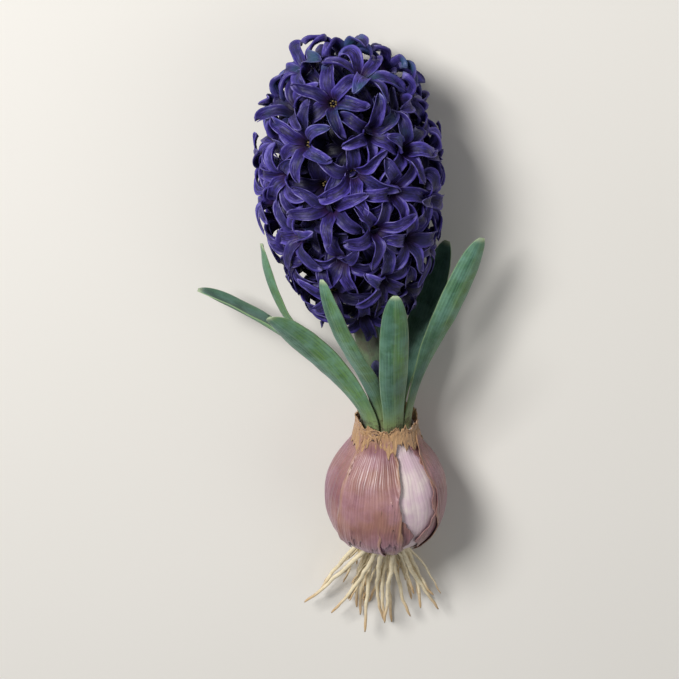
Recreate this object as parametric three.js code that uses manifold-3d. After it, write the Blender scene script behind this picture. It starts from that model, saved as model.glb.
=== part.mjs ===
// A dark violet garden hyacinth in full flower, with its bulb and roots, lying on a flat surface.
//
// The plant is drawn upright: its bulb stands on the plane z = 0, the flower stem rises along +Z, and the
// plant's front is -Y. One group then lays it down, with the stem along +Y and the front uppermost. Whatever
// would sink into the surface is pressed flat against it.
//
// Pieces: the bulb, its basal plate with the roots, eight leaves in two whorls, the bare flower stem, and the
// flower head, in which every floret is a tube with six petals. All sizes are in millimetres.
import * as THREE from "three";
import { mergeVertices } from "three/addons/utils/BufferGeometryUtils.js";
import Module from "manifold-3d";

const wasm = await Module();
wasm.setup();

const { sin, cos, asin, atan2, PI, sqrt, abs, sign, min, max, exp, floor, hypot } = Math;
const V = (x, y, z) => new THREE.Vector3(x, y, z);
const DEG = PI / 180;
const UP = V(0, 0, 1);
const GOLDEN_ANGLE = PI * (3 - sqrt(5));
const CLEARANCE = 0.35; // air between one piece and the next
const FUSING_TOLERANCE = 0.1;
const PARTING = 0.03; // how far touching sheets of one surface are moved apart

// ---- Driving dimensions ----

const BULB = {
  radius: 29, widest: 25, sides: 24, // the height where it is widest
  neckTop: 64, neckRadius: 14, holeRadius: 12.6, holeFloor: 50, // leaves and stem come out of the hole
};
const PLATE = { radius: 13, low: -3.4, high: 2.4, sides: 16 };
const ROOT = { count: 20, baseRadius: 1.2, tipRadius: 0.6, shortest: 40, longest: 62, sides: 5, steps: 5 };
const SCAPE = { radius: 6.2, topRadius: 5.4, sides: 12, steps: 7 };
const LEAF = { thickness: 2.1, edge: 0.9, steps: 13, across: 4 };
const HEAD = {
  radius: 40.5, bottom: 109, top: 254,
  square: 0.94, // a power under 1 makes the skin fuller than an ellipsoid
  taper: 0.3, // the share by which the skin is narrower at its bottom
  florets: 54, lowest: -58, mouthInset: 5.4, // the latitude of the lowest floret, in degrees
  held: 0.85, loose: 1, // how far down the leaves hold the petals in, and how loosely
};
const RACHIS = { low: 118.5, high: 232, radius: 6, topRadius: 3.5, sides: 6 };
const FLORET = { petals: 6, throat: 3, belly: 3.3, bellyBelow: 8.5 };
const PETAL = {
  length: 18.5, width: 6.6, thickness: 1.3, // from its front to the keel behind it
  first: 0.36, second: 0.74, // how far along it the two cross-sections are
  firstShare: 1, secondShare: 0.76, // and their share of its full width
  firstBend: 26, lastBend: 152, // how far it has bent away from the floret's own axis, in degrees
};

// How far pieces of a kind differ from each other.
const LOOSE = {
  floretTurn: 0.09, mouth: 1.8, foot: 3, facing: 0.14, opening: 14, // the opening and the bends in degrees
  petalTurn: 0.1, petalLength: 0.07, petalBend: 16, petalSway: 0.2, innerBend: 9, outerBend: -5,
  rootFan: 0.22, rootBend: 0.4,
};

// How the plant lies: the stem rises a little towards the head, because the head is thicker than the bulb.
const LYING = { tilt: 2.85 * DEG, height: 26.95, squeeze: 2.2, thinnest: 0.72 };

// ---- Materials ----

const finish = (color, roughness) => new THREE.MeshStandardMaterial({ color, roughness, metalness: 0 });
const PETAL_VIOLET = finish(0x4a3f9c, 0.55);
const LEAF_GREEN = finish(0x5f9a62, 0.5);
const STEM_GREEN = finish(0x62755a, 0.5);
const TUNIC = finish(0x7b5368, 0.6);
const ROOT_CREAM = finish(0xe6dcc4, 0.6);

// ---- The lying pose ----

const plant = new THREE.Group();
plant.rotation.x = LYING.tilt - PI / 2;
plant.position.set(0, 0, LYING.height);
plant.updateMatrixWorld(true);
const toRow = plant.matrixWorld.clone();
const toPlant = toRow.clone().invert();

// Lifts a point that is on or under the surface until it is a thickness above it, with a soft start.
function press(point, thinnest = LYING.thinnest) {
  const p = point.clone().applyMatrix4(toRow);
  const soft = thinnest + LYING.squeeze;
  if (p.z < soft) p.z = thinnest + LYING.squeeze * exp((p.z - soft) / LYING.squeeze);
  return p.applyMatrix4(toPlant);
}

// A repeatable number from 0 to 1 for one piece and one of its traits.
function scatter(piece, trait) {
  const wild = sin(piece * 127.1 + trait * 311.7 + 17.3) * 43758.5453;
  return wild - floor(wild);
}
const spread = (piece, trait, width) => (2 * scatter(piece, trait) - 1) * width;
const mix = (a, b, t) => a + (b - a) * t;
const ease = (t) => { const c = min(1, max(0, t)); return c * c * (3 - 2 * c); };

// ---- Meshes and solids ----

function geometryOf(points, faces) {
  const flat = new Float32Array(points.flatMap((p) => [p.x, p.y, p.z]));
  const g = new THREE.BufferGeometry().setAttribute("position", new THREE.BufferAttribute(flat, 3));
  g.setIndex(faces.flat());
  return g;
}

function solidOf(geometry) {
  const bare = geometry.clone();
  bare.deleteAttribute("normal");
  bare.deleteAttribute("uv");
  const merged = mergeVertices(bare, 1e-4);
  const triVerts = new Uint32Array(merged.index.array);
  const vertProperties = merged.attributes.position.array;
  return new wasm.Manifold(new wasm.Mesh({ numProp: 3, vertProperties, triVerts }));
}

// A solid's surface. Where two sheets of it only touch, their shared points move apart, each towards the
// neighbours on its own sheet.
function geometryFrom(solid) {
  const mesh = solid.getMesh();
  const { triVerts } = mesh;
  const points = Array.from({ length: mesh.numVert }, (_, i) => V(...mesh.position(i)));
  const place = (p) => p.toArray().map((c) => c.toFixed(4)).join();
  const owners = new Map();
  for (const p of points) owners.set(place(p), (owners.get(place(p)) || 0) + 1);
  const inward = points.map(() => V(0, 0, 0));
  triVerts.forEach((i, corner) => {
    const next = triVerts[corner % 3 === 2 ? corner - 2 : corner + 1];
    inward[i].add(points[next]).sub(points[i]);
  });
  const parted = points.map((p, i) => (owners.get(place(p)) > 1
    ? p.clone().addScaledVector(inward[i].normalize(), PARTING) : p));
  return geometryOf(parted, [Array.from(triVerts)]);
}

// The outer skin of the largest body: hollows that fusing has sealed are filled, and loose scraps dropped.
function oneBody(solid) {
  const bodies = solid.simplify(FUSING_TOLERANCE).decompose();
  return bodies.reduce((best, body) => (body.volume() > best.volume() ? body : best));
}

// A closed round body through rings of equal count, with each end capped by a fan round its own centre.
function tubeThrough(rings, firstCentre, lastCentre) {
  const n = rings[0].length;
  const points = rings.flat();
  const faces = [];
  const at = (u, v) => u * n + (v % n);
  for (let u = 0; u + 1 < rings.length; u++)
    for (let v = 0; v < n; v++)
      faces.push([at(u, v), at(u, v + 1), at(u + 1, v + 1)], [at(u, v), at(u + 1, v + 1), at(u + 1, v)]);
  const first = points.push(firstCentre) - 1;
  const last = points.push(lastCentre) - 1;
  for (let v = 0; v < n; v++)
    faces.push([first, at(0, v + 1), at(0, v)], [last, at(rings.length - 1, v), at(rings.length - 1, v + 1)]);
  return geometryOf(points, faces);
}

// A closed blade between two faces given as grids of points, face[u][v], with both faces split alike.
// The side edges may be sharp, where the two faces share their points, and the last row may be one point.
function blade(back, front) {
  const points = [];
  const index = new Map();
  const id = (p) => {
    const key = [p.x, p.y, p.z].map((c) => c.toFixed(5)).join();
    if (!index.has(key)) index.set(key, points.push(p) - 1);
    return index.get(key);
  };
  const faces = [];
  const quad = (a, b, c, d) => {
    const [i, j, k, l] = [a, b, c, d].map(id);
    if (i !== j && j !== k && i !== k) faces.push([k, j, i]);
    if (i !== k && k !== l && i !== l) faces.push([l, k, i]);
  };
  const rows = back.length;
  const cols = back[0].length;
  for (let u = 0; u + 1 < rows; u++) {
    for (let v = 0; v + 1 < cols; v++) {
      quad(back[u][v], back[u][v + 1], back[u + 1][v + 1], back[u + 1][v]);
      quad(front[u][v + 1], front[u][v], front[u + 1][v], front[u + 1][v + 1]);
    }
    quad(front[u][0], back[u][0], back[u + 1][0], front[u + 1][0]);
    quad(back[u][cols - 1], front[u][cols - 1], front[u + 1][cols - 1], back[u + 1][cols - 1]);
  }
  for (let v = 0; v + 1 < cols; v++) {
    quad(back[0][v + 1], back[0][v], front[0][v], front[0][v + 1]);
    quad(back[rows - 1][v], back[rows - 1][v + 1], front[rows - 1][v + 1], front[rows - 1][v]);
  }
  return geometryOf(points, faces);
}

// A ring of points round a centre, across a direction.
function ringRound(centre, along, radius, sides, first = 0) {
  const side = abs(along.z) > 0.9 ? V(1, 0, 0) : UP.clone();
  const a = side.clone().cross(along).normalize();
  const b = along.clone().cross(a).normalize();
  return Array.from({ length: sides }, (_, i) => {
    const t = first + (2 * PI * i) / sides;
    return centre.clone().addScaledVector(a, radius * cos(t)).addScaledVector(b, radius * sin(t));
  });
}

// ---- The stem's line: it leans to the left above the bulb, and stands nearly straight inside the head ----

const spine = new THREE.CatmullRomCurve3([
  V(0, 0, 40), V(0, 0, 62), V(-5.5, 0, 92), V(-12, 0, 122),
  V(-15.5, 0, 155), V(-17.5, 0, 190), V(-20, 0, 230), V(-21.5, 0, 262),
]);
const SPINE_LOW = 40;
const SPINE_HIGH = 262;

// The stem's centre at a height. The line never turns back, so its height grows with its parameter.
function stemAt(height) {
  let low = 0;
  let high = 1;
  for (let i = 0; i < 24; i++) {
    const middle = (low + high) / 2;
    if (spine.getPoint(middle).z < height) low = middle;
    else high = middle;
  }
  const p = spine.getPoint(low);
  return V(p.x, p.y, min(SPINE_HIGH, max(SPINE_LOW, height)));
}

// ---- Bulb ----

// The outline of half a bulb, from the seat of the basal plate to the bottom of the hole in its neck.
function bulbOutline() {
  const b = BULB;
  const seat = PLATE.high + CLEARANCE;
  return [
    [0, seat], [PLATE.radius + CLEARANCE, seat], [PLATE.radius + 1.6, 0.2],
    [20.5, 3.2], [26, 10], [28.5, 17.5], [b.radius, b.widest],
    [28.2, 32.5], [25.2, 40.5], [20.8, 47.5], [16.8, 53.5], [14.9, 59],
    [b.neckRadius, b.neckTop - 0.6], [b.holeRadius + 0.5, b.neckTop], [b.holeRadius, b.neckTop - 1.4],
    [b.holeRadius, b.holeFloor], [0, b.holeFloor],
  ].map(([r, z]) => new THREE.Vector2(r, z));
}

// The tunic's scales run up the bulb as shallow lobes, strongest at its waist.
function bulbSolid() {
  const g = new THREE.LatheGeometry(bulbOutline(), BULB.sides);
  const at = g.getAttribute("position");
  for (let i = 0; i < at.count; i++) {
    const p = V(at.getX(i), at.getY(i), at.getZ(i));
    const r = hypot(p.x, p.z);
    const turn = atan2(p.z, p.x);
    const outside = ease((r - BULB.neckRadius) / 8);
    const lobe = 1 + outside * (0.014 * cos(3 * turn + 0.6) + 0.008 * cos(7 * turn + 1.9));
    at.setXYZ(i, p.x * lobe, -p.z * lobe, p.y);
  }
  const lying = solidOf(g).transform(toRow.elements);
  return lying.trimByPlane([0, 0, 1], 0).transform(toPlant.elements);
}

// ---- Roots ----

function rootsSolid() {
  const rim = PLATE.radius;
  const outline = [
    [0, PLATE.low], [rim * 0.72, PLATE.low], [rim, PLATE.low + 1.8], [rim, PLATE.high], [0, PLATE.high],
  ];
  const plate = new THREE.LatheGeometry(outline.map(([r, z]) => new THREE.Vector2(r, z)), PLATE.sides);
  plate.rotateX(PI / 2);
  const solids = [solidOf(plate)];
  for (let i = 0; i < ROOT.count; i++) solids.push(solidOf(rootGeometry(i)));
  return oneBody(wasm.Manifold.union(solids));
}

// One root: it leaves the plate, droops on to the surface and runs on along it.
function rootGeometry(i) {
  const turn = i * GOLDEN_ANGLE;
  const reach = 3 + (PLATE.radius - 4.5) * sqrt((i + 0.5) / ROOT.count);
  const start = V(reach * cos(turn), reach * sin(turn), PLATE.low + 1.6).applyMatrix4(toRow);
  const length = mix(ROOT.shortest, ROOT.longest, scatter(i, 1));
  const fan = (0.5 * (cos(turn) * reach)) / PLATE.radius + spread(i, 2, LOOSE.rootFan);
  const bend = spread(i, 3, LOOSE.rootBend);
  const droop = mix(0.5, 1.0, scatter(i, 4));
  const points = [start.clone().add(V(0, 2.2, 0)), start];
  const at = start.clone();
  const strides = 5;
  for (let k = 1; k <= strides; k++) {
    const t = k / strides;
    const heading = fan + bend * t;
    const fall = start.z * droop * (t < 0.75 ? 0.62 : 0.3) / strides * 2;
    at.add(V(sin(heading), -cos(heading), 0).multiplyScalar(length / strides));
    at.z -= fall;
    points.push(at.clone());
  }
  const line = new THREE.CatmullRomCurve3(points);
  const rings = [];
  const centres = [];
  for (let k = 0; k <= ROOT.steps; k++) {
    const t = k / ROOT.steps;
    const radius = mix(ROOT.baseRadius, ROOT.tipRadius, t * t);
    const centre = press(line.getPoint(t).applyMatrix4(toPlant), radius + 0.1);
    const along = line.getTangent(t).transformDirection(toPlant);
    centres.push(centre);
    rings.push(ringRound(centre, along, radius, ROOT.sides, turn));
  }
  return tubeThrough(rings, centres[0], centres[ROOT.steps]);
}

// ---- Bare flower stem ----

function scapeGeometry() {
  const low = BULB.holeFloor + CLEARANCE;
  const high = RACHIS.low - CLEARANCE;
  const rings = [];
  for (let k = 0; k <= SCAPE.steps; k++) {
    const t = k / SCAPE.steps;
    rings.push(ringRound(stemAt(mix(low, high, t)), UP, mix(SCAPE.radius, SCAPE.topRadius, t), SCAPE.sides));
  }
  return tubeThrough(rings, stemAt(low), stemAt(high));
}

// ---- Leaves ----

// Each leaf starts in the neck, in one of two whorls, at a turn round the stem in degrees, counted from
// the right towards the back. It stands up through the neck, leaves it along a curve whose two handles are
// "rise" and "pull" long, and ends at its tip, pointing along "aim". Its back then turns to "faces".
const OUTER_WHORL = { radius: 11.25, footWidth: 10.2 };
const INNER_WHORL = { radius: 8.5, footWidth: 8.6 };
const LEAVES = [
  {
    name: "leaf_left_low", turn: 170, whorl: OUTER_WHORL, width: 15.5, faces: 180,
    tip: V(-90, 6, 131), aim: V(-0.93, 0.02, 0.36), rise: 20, pull: 40,
  },
  {
    name: "leaf_left_front", turn: 226.5, whorl: OUTER_WHORL, width: 16.5, faces: 244,
    tip: V(-55, -32, 134), aim: V(-0.66, -0.4, 0.62), rise: 12, pull: 32,
  },
  {
    name: "leaf_left_high", turn: 196, whorl: INNER_WHORL, width: 12.5, faces: 200,
    tip: V(-59, -17, 165), aim: V(-0.08, -0.06, 0.99), rise: 25, pull: 56,
  },
  {
    name: "leaf_front_left", turn: 254, whorl: INNER_WHORL, width: 11, faces: 236,
    tip: V(-31, -46, 160), aim: V(-0.22, -0.02, 0.97), rise: 30, pull: 48,
  },
  {
    name: "leaf_back", turn: 96, whorl: OUTER_WHORL, width: 15, faces: 88,
    tip: V(3, 31, 121), aim: V(0.1, 0.35, 0.93), rise: 16, pull: 20,
  },
  {
    name: "leaf_front", turn: 289, whorl: OUTER_WHORL, width: 14, faces: 274,
    tip: V(3, -42, 150), aim: V(0.02, -0.1, 0.98), rise: 18, pull: 42,
  },
  {
    name: "leaf_right_back", turn: 40, whorl: INNER_WHORL, width: 14, faces: 62,
    tip: V(29, 20, 151), aim: V(0.25, 0.15, 0.95), rise: 26, pull: 40,
  },
  {
    name: "leaf_right", turn: 344, whorl: OUTER_WHORL, width: 15.5, faces: 302,
    tip: V(44, -6, 163), aim: V(0.34, -0.05, 0.94), rise: 22, pull: 46,
  },
];

// How wide a leaf is along its length, as a share of its greatest width: a clasping foot and a blunt tip.
function leafWidth(t, footShare) {
  const body = mix(footShare, 1, ease((t - 0.13) / 0.4));
  const tip = t < 0.72 ? 1 : sqrt(max(0, 1 - ((t - 0.72) / 0.285) ** 2.4));
  return body * tip;
}

function leafGeometry(leaf) {
  const turn = leaf.turn * DEG;
  const { radius, footWidth } = leaf.whorl;
  const foot = V(radius * cos(turn), radius * sin(turn), BULB.holeFloor + CLEARANCE);
  const aim = leaf.aim.clone().normalize();
  const neck = V(foot.x, foot.y, BULB.neckTop);
  const line = new THREE.CurvePath();
  line.add(new THREE.LineCurve3(foot, neck));
  line.add(new THREE.CubicBezierCurve3(
    neck, neck.clone().add(V(0, 0, leaf.rise)), leaf.tip.clone().addScaledVector(aim, -leaf.pull), leaf.tip,
  ));
  const swing = (leaf.faces - leaf.turn) * DEG;
  const back = [];
  const front = [];
  for (let u = 0; u <= LEAF.steps; u++) {
    const t = u / LEAF.steps;
    const centre = line.getPointAt(t);
    const along = line.getTangentAt(t);
    const facing = turn + swing * ease((t - 0.2) / 0.5);
    const outward = V(cos(facing), sin(facing), 0);
    const across = outward.clone().cross(along).normalize();
    const away = along.clone().cross(across).normalize();
    const width = leaf.width * leafWidth(t, footWidth / leaf.width);
    const cup = mix(footWidth / (2 * radius), 0.52, ease(t / 0.5)) + 0.3 * ease((t - 0.75) / 0.25);
    const curve = width / (2 * cup);
    back.push([]);
    front.push([]);
    for (let v = 0; v <= LEAF.across; v++) {
      const s = (2 * v) / LEAF.across - 1;
      const a = s * cup;
      const normal = away.clone().multiplyScalar(cos(a)).addScaledVector(across, sin(a));
      const middle = centre.clone().addScaledVector(away, curve * (cos(a) - 1))
        .addScaledVector(across, curve * sin(a));
      const half = (mix(LEAF.thickness, LEAF.edge, abs(s) ** 1.5) / 2) * mix(1, 0.6, ease((t - 0.6) / 0.4));
      const pressed = press(middle, half + 0.25);
      back[u].push(pressed.clone().addScaledVector(normal, half));
      front[u].push(pressed.clone().addScaledVector(normal, -half));
    }
  }
  return blade(back, front);
}

// ---- Flower head ----

const HEAD_MIDDLE = (HEAD.bottom + HEAD.top) / 2;
const HEAD_HALF = (HEAD.top - HEAD.bottom) / 2;

// How wide the lower half of the head is, against an even ellipsoid, at a share of the head's half height.
const narrowed = (rise) => 1 - HEAD.taper * max(0, -rise) ** 1.2;

// The head's skin is an egg round the stem's line. An inset makes a smaller skin inside it.
function skinPoint(latitude, turn, inset) {
  const c = cos(latitude) ** HEAD.square;
  const s = sign(latitude) * abs(sin(latitude)) ** HEAD.square;
  const out = (HEAD.radius - inset) * c * narrowed(s);
  const height = HEAD_MIDDLE + (HEAD_HALF - inset) * s;
  return stemAt(height).add(V(out * cos(turn), out * sin(turn), 0));
}

// Brings a petal's point back to the skin, where the leaves hold the head in: below its middle.
function drawIn(point) {
  const fall = min(HEAD.held, max(0, (HEAD_MIDDLE - point.z) / HEAD_HALF));
  const even = HEAD.radius * cos(asin(fall ** (1 / HEAD.square))) ** HEAD.square;
  const reach = even * narrowed(-fall) + HEAD.loose;
  const stem = stemAt(point.z);
  const distance = hypot(point.x - stem.x, point.y - stem.y);
  const share = min(1, reach / distance);
  return V(mix(stem.x, point.x, share), mix(stem.y, point.y, share), point.z);
}

// Latitudes that share out the skin between the florets, so that each has the same room.
function floretLatitudes() {
  const slices = 400;
  const areas = [0];
  const rim = (i) => mix(HEAD.lowest * DEG, PI / 2, i / slices);
  const outline = (i) => {
    const rise = sign(sin(rim(i))) * abs(sin(rim(i))) ** HEAD.square;
    return [HEAD.radius * cos(rim(i)) ** HEAD.square * narrowed(rise), HEAD_HALF * rise];
  };
  for (let i = 0; i < slices; i++) {
    const [r0, z0] = outline(i);
    const [r1, z1] = outline(i + 1);
    areas.push(areas[i] + ((r0 + r1) / 2) * hypot(r1 - r0, z1 - z0));
  }
  return Array.from({ length: HEAD.florets }, (_, i) => {
    const share = ((i + 0.5) / HEAD.florets) * areas[slices];
    return rim(areas.findIndex((a) => a >= share));
  });
}

// The frame of one floret: where it leaves the stem, its mouth, the way it faces, and the turn of its petals.
function floretFrame(i, latitude) {
  const turn = i * GOLDEN_ANGLE + spread(i, 11, LOOSE.floretTurn);
  const mouth = skinPoint(latitude, turn, HEAD.mouthInset + spread(i, 12, LOOSE.mouth));
  const rootHeight = mix(mouth.z, HEAD_MIDDLE, 0.25) + spread(i, 13, LOOSE.foot);
  const root = stemAt(min(RACHIS.high - 2, max(RACHIS.low + 8, rootHeight)));
  const facing = mouth.clone().sub(root).normalize();
  facing.add(V(...[14, 15, 18].map((trait) => spread(i, trait, LOOSE.facing)))).normalize();
  return { root, mouth, facing, turn: scatter(i, 16) * (PI / 3), open: spread(i, 17, 1) };
}

// The two directions across a floret that its petals are laid out on.
function crossFrame(facing) {
  const side = abs(facing.z) > 0.9 ? V(1, 0, 0) : UP.clone();
  const a = side.cross(facing).normalize();
  return [a, facing.clone().cross(a).normalize()];
}

// One floret as a single body: a stalk that widens to a throat, with six petals that curl out and back.
// A petal's cross-section has three points: its two edges, and the keel behind them.
function floretGeometry(floret, frame) {
  const { root, mouth, facing } = frame;
  const [a, b] = crossFrame(facing);
  const round = (centre, angle, radius) => centre.clone()
    .addScaledVector(a, radius * cos(angle)).addScaledVector(b, radius * sin(angle));
  const place = (angle, radius, along) => round(mouth.clone().addScaledVector(facing, along), angle, radius);
  const points = [];
  const faces = [];
  const add = (p) => points.push(p) - 1;
  const count = FLORET.petals;
  const angles = Array.from({ length: count }, (_, k) => frame.turn + (2 * PI * k) / count);
  const half = PI / count;
  const belly = angles.map((t) => add(place(t, FLORET.belly, -FLORET.bellyBelow)));
  const rim = angles.map((t) => add(press(place(t, FLORET.throat + 0.35, -0.6))));
  const valley = angles.map((t) => add(press(place(t + half, FLORET.throat, 0.5))));
  const foot = add(root);
  const well = add(press(place(0, 0, -1.2)));
  for (let k = 0; k < count; k++) {
    const n = (k + 1) % count;
    const before = valley[(k + count - 1) % count];
    faces.push([foot, belly[n], belly[k]], [belly[k], belly[n], valley[k]], [belly[k], valley[k], rim[k]]);
    faces.push([belly[n], rim[n], valley[k]], [well, before, valley[k]]);
    let section = [before, rim[k], valley[k]];
    for (const next of petalSections(floret, k, frame, angles[k], a, b)) {
      const ids = next.map(add);
      section.forEach((corner, c) => {
        const d = (c + 1) % section.length;
        if (ids.length === 1) faces.push([corner, section[d], ids[0]]);
        else faces.push([corner, section[d], ids[d]], [corner, ids[d], ids[c]]);
      });
      section = ids;
    }
  }
  return geometryOf(points, faces);
}

// The cross-sections of one petal beyond the throat, each as [edge, keel, edge], and then its tip.
function petalSections(floret, k, frame, angle, a, b) {
  const { mouth, facing, open } = frame;
  const seed = floret * FLORET.petals + k;
  const turn = angle + spread(seed, 21, LOOSE.petalTurn);
  const out = a.clone().multiplyScalar(cos(turn)).addScaledVector(b, sin(turn));
  const across = facing.clone().cross(out).normalize();
  const length = PETAL.length * (1 + spread(seed, 22, LOOSE.petalLength));
  const whorl = k % 2 ? LOOSE.innerBend : LOOSE.outerBend;
  const last = (PETAL.lastBend + LOOSE.opening * open + whorl + spread(seed, 23, LOOSE.petalBend)) * DEG;
  const sway = spread(seed, 24, LOOSE.petalSway);
  const stations = [[PETAL.first, PETAL.firstShare], [PETAL.second, PETAL.secondShare], [1, 0]];
  const centre = mouth.clone().addScaledVector(out, FLORET.throat - 0.4);
  let before = 0;
  return stations.map(([t, widthShare]) => {
    const bend = mix(PETAL.firstBend * DEG, last, (t + before) / 2);
    const stride = length * (t - before);
    before = t;
    centre.addScaledVector(facing, stride * cos(bend)).addScaledVector(out, stride * sin(bend));
    centre.addScaledVector(across, stride * sway * t);
    if (widthShare === 0) return [press(drawIn(centre))];
    const slope = mix(PETAL.firstBend * DEG, last, t);
    const back = facing.clone().multiplyScalar(-sin(slope)).addScaledVector(out, cos(slope));
    const reach = (PETAL.width * widthShare) / 2;
    const at = (aside, behind) => centre.clone().addScaledVector(across, aside).addScaledVector(back, behind);
    const depth = PETAL.thickness / 2;
    return [at(-reach, -depth), at(0, depth), at(reach, -depth)].map((point) => press(drawIn(point)));
  });
}

// The part of the stem that the florets grow from.
function rachisGeometry() {
  const levels = 4;
  const rings = [];
  for (let k = 0; k <= levels; k++) {
    const t = k / levels;
    const centre = stemAt(mix(RACHIS.low, RACHIS.high, t));
    rings.push(ringRound(centre, UP, mix(RACHIS.radius, RACHIS.topRadius, t), RACHIS.sides));
  }
  return tubeThrough(rings, stemAt(RACHIS.low), stemAt(RACHIS.high));
}

function headSolid() {
  const solids = [solidOf(rachisGeometry())];
  floretLatitudes().forEach((latitude, i) => {
    solids.push(solidOf(floretGeometry(i, floretFrame(i, latitude))));
  });
  return oneBody(wasm.Manifold.union(solids));
}

// ---- The whole plant ----

function piece(name, geometry, material) {
  const mesh = new THREE.Mesh(geometry, material);
  mesh.name = name;
  plant.add(mesh);
}

piece("bulb", geometryFrom(bulbSolid()), TUNIC);
piece("roots", geometryFrom(rootsSolid()), ROOT_CREAM);
piece("flower_stem", scapeGeometry(), STEM_GREEN);
for (const leaf of LEAVES) piece(leaf.name, leafGeometry(leaf), LEAF_GREEN);
piece("flower_head", geometryFrom(headSolid()), PETAL_VIOLET);

const middle = new THREE.Box3().setFromObject(plant, true).getCenter(V(0, 0, 0));
plant.position.set(-middle.x, -middle.y, LYING.height);

export default plant;
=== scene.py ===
"""A dark violet garden hyacinth, lifted with its bulb and roots, lying on a plain pale floor.

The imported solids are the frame. Every soft piece of the plant is built again here, finer and in the same
place: the florets with their curled petals, the leaves with their veins and bloom, the green stem with a
small closed bud, the bulb in its papery tunic, and the fan of roots. Sizes are in millimetres in the plant's
own frame, in which the bulb stands on z = 0, the stem rises along +Z and the plant's front is -Y, until a
mesh is made in metres.
"""

import logging
import math
from collections.abc import Callable
from dataclasses import dataclass, field
from enum import Enum, IntEnum

import bpy
import numpy as np
from mathutils import Matrix, Vector, kdtree


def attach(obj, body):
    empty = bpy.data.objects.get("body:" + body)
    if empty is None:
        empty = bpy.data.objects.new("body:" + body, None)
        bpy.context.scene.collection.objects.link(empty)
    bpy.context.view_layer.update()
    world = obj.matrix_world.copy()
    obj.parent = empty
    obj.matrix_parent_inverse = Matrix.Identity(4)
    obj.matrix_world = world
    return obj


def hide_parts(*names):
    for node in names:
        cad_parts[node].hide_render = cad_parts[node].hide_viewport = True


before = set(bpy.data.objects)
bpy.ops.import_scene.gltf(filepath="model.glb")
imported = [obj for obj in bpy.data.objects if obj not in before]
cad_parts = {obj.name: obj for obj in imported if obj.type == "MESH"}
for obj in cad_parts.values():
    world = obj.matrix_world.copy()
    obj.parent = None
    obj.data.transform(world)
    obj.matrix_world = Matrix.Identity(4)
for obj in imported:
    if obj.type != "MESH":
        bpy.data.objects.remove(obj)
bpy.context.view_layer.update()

LOG = logging.getLogger("hyacinth")
MM = 0.001
GOLDEN_ANGLE = math.pi * (3 - math.sqrt(5))
FULL_TURN = 2 * math.pi
Array = np.ndarray
Point = tuple[float, float, float]


# ---------------------------------------------------------------- numbers

class Trait(IntEnum):
    """What varies from piece to piece. A trait that the solids have too keeps its number."""

    ROOT_LENGTH = 1
    ROOT_FAN = 2
    ROOT_BEND = 3
    ROOT_DROOP = 4
    ROOT_REACH = 5
    ROOT_SHARE = 6
    ROOT_SIZE = 7
    FLORET_TURN = 11
    FLORET_INSET = 12
    FLORET_HEIGHT = 13
    FLORET_SPIN = 16
    FLORET_OPEN = 17
    PETAL_TURN = 21
    PETAL_LENGTH = 22
    PETAL_BEND = 23
    PETAL_SWAY = 24
    PETAL_TWIST = 31
    PETAL_WIDTH = 32
    PETAL_ROLL = 33
    PETAL_SNAKE = 34
    PETAL_TONE = 35
    PETAL_CURL = 36
    PETAL_TIP = 37
    PETAL_HOLLOW = 38
    PETAL_FLARE = 39
    ANTHER_TURN = 41
    FLORET_BEND = 47
    PETAL_FIRST_BEND = 48
    LEAF_TONE = 51
    WAVE_PHASE = 60
    WAVE_RATE = 70
    WAVE_SIDE = 90


FACING_TRAITS = (14, 15, 18)
LEAN_TRAITS = (42, 43, 44)


def scatter(piece: int, trait: int) -> float:
    """A repeatable number from 0 to 1 for one piece and one of its traits, as in the solids."""
    wild = math.sin(piece * 127.1 + trait * 311.7 + 17.3) * 43758.5453
    return wild - math.floor(wild)


def spread(piece: int, trait: int, width: float) -> float:
    """A repeatable number from -width to width."""
    return (2 * scatter(piece, trait) - 1) * width


def mix(first: float | Array, second: float | Array, share: float | Array) -> float | Array:
    """The value between two others, at share 0 the first and at 1 the second."""
    return first + (second - first) * share


def ease(share: float | Array) -> float | Array:
    """A smooth step from 0 to 1, flat at both ends."""
    held = np.clip(share, 0.0, 1.0)
    return held * held * (3 - 2 * held)


def unit(vector: Array) -> Array:
    """The vector, or each vector along the last axis, at length one."""
    return vector / np.maximum(np.linalg.norm(vector, axis=-1, keepdims=True), 1e-9)


def ripple(seed: int, *axes: Array) -> Array:
    """Smooth irregular waves of about -1 to 1.

    Args:
        seed: Picks the waves.
        axes: Coordinates in radians of the longest wave.

    Returns:
        The height of the waves, with the shape of the axes put together.
    """
    total = 0.0
    for n in range(5):
        phase = FULL_TURN * scatter(seed, Trait.WAVE_PHASE + n)
        for j, axis in enumerate(axes):
            rate = (1 + 0.83 * n) * (0.75 + 0.5 * scatter(seed, Trait.WAVE_RATE + 7 * n + j))
            phase = phase + rate * axis * (-1 if scatter(seed, Trait.WAVE_SIDE + n + 5 * j) < 0.5 else 1)
        total = total + np.sin(phase) / (1 + 0.7 * n)
    return total / 1.9


def ring_turns(sides: int) -> Array:
    """The turns of the points of a ring, in radians."""
    return np.linspace(0, FULL_TURN, sides, endpoint=False)


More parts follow.
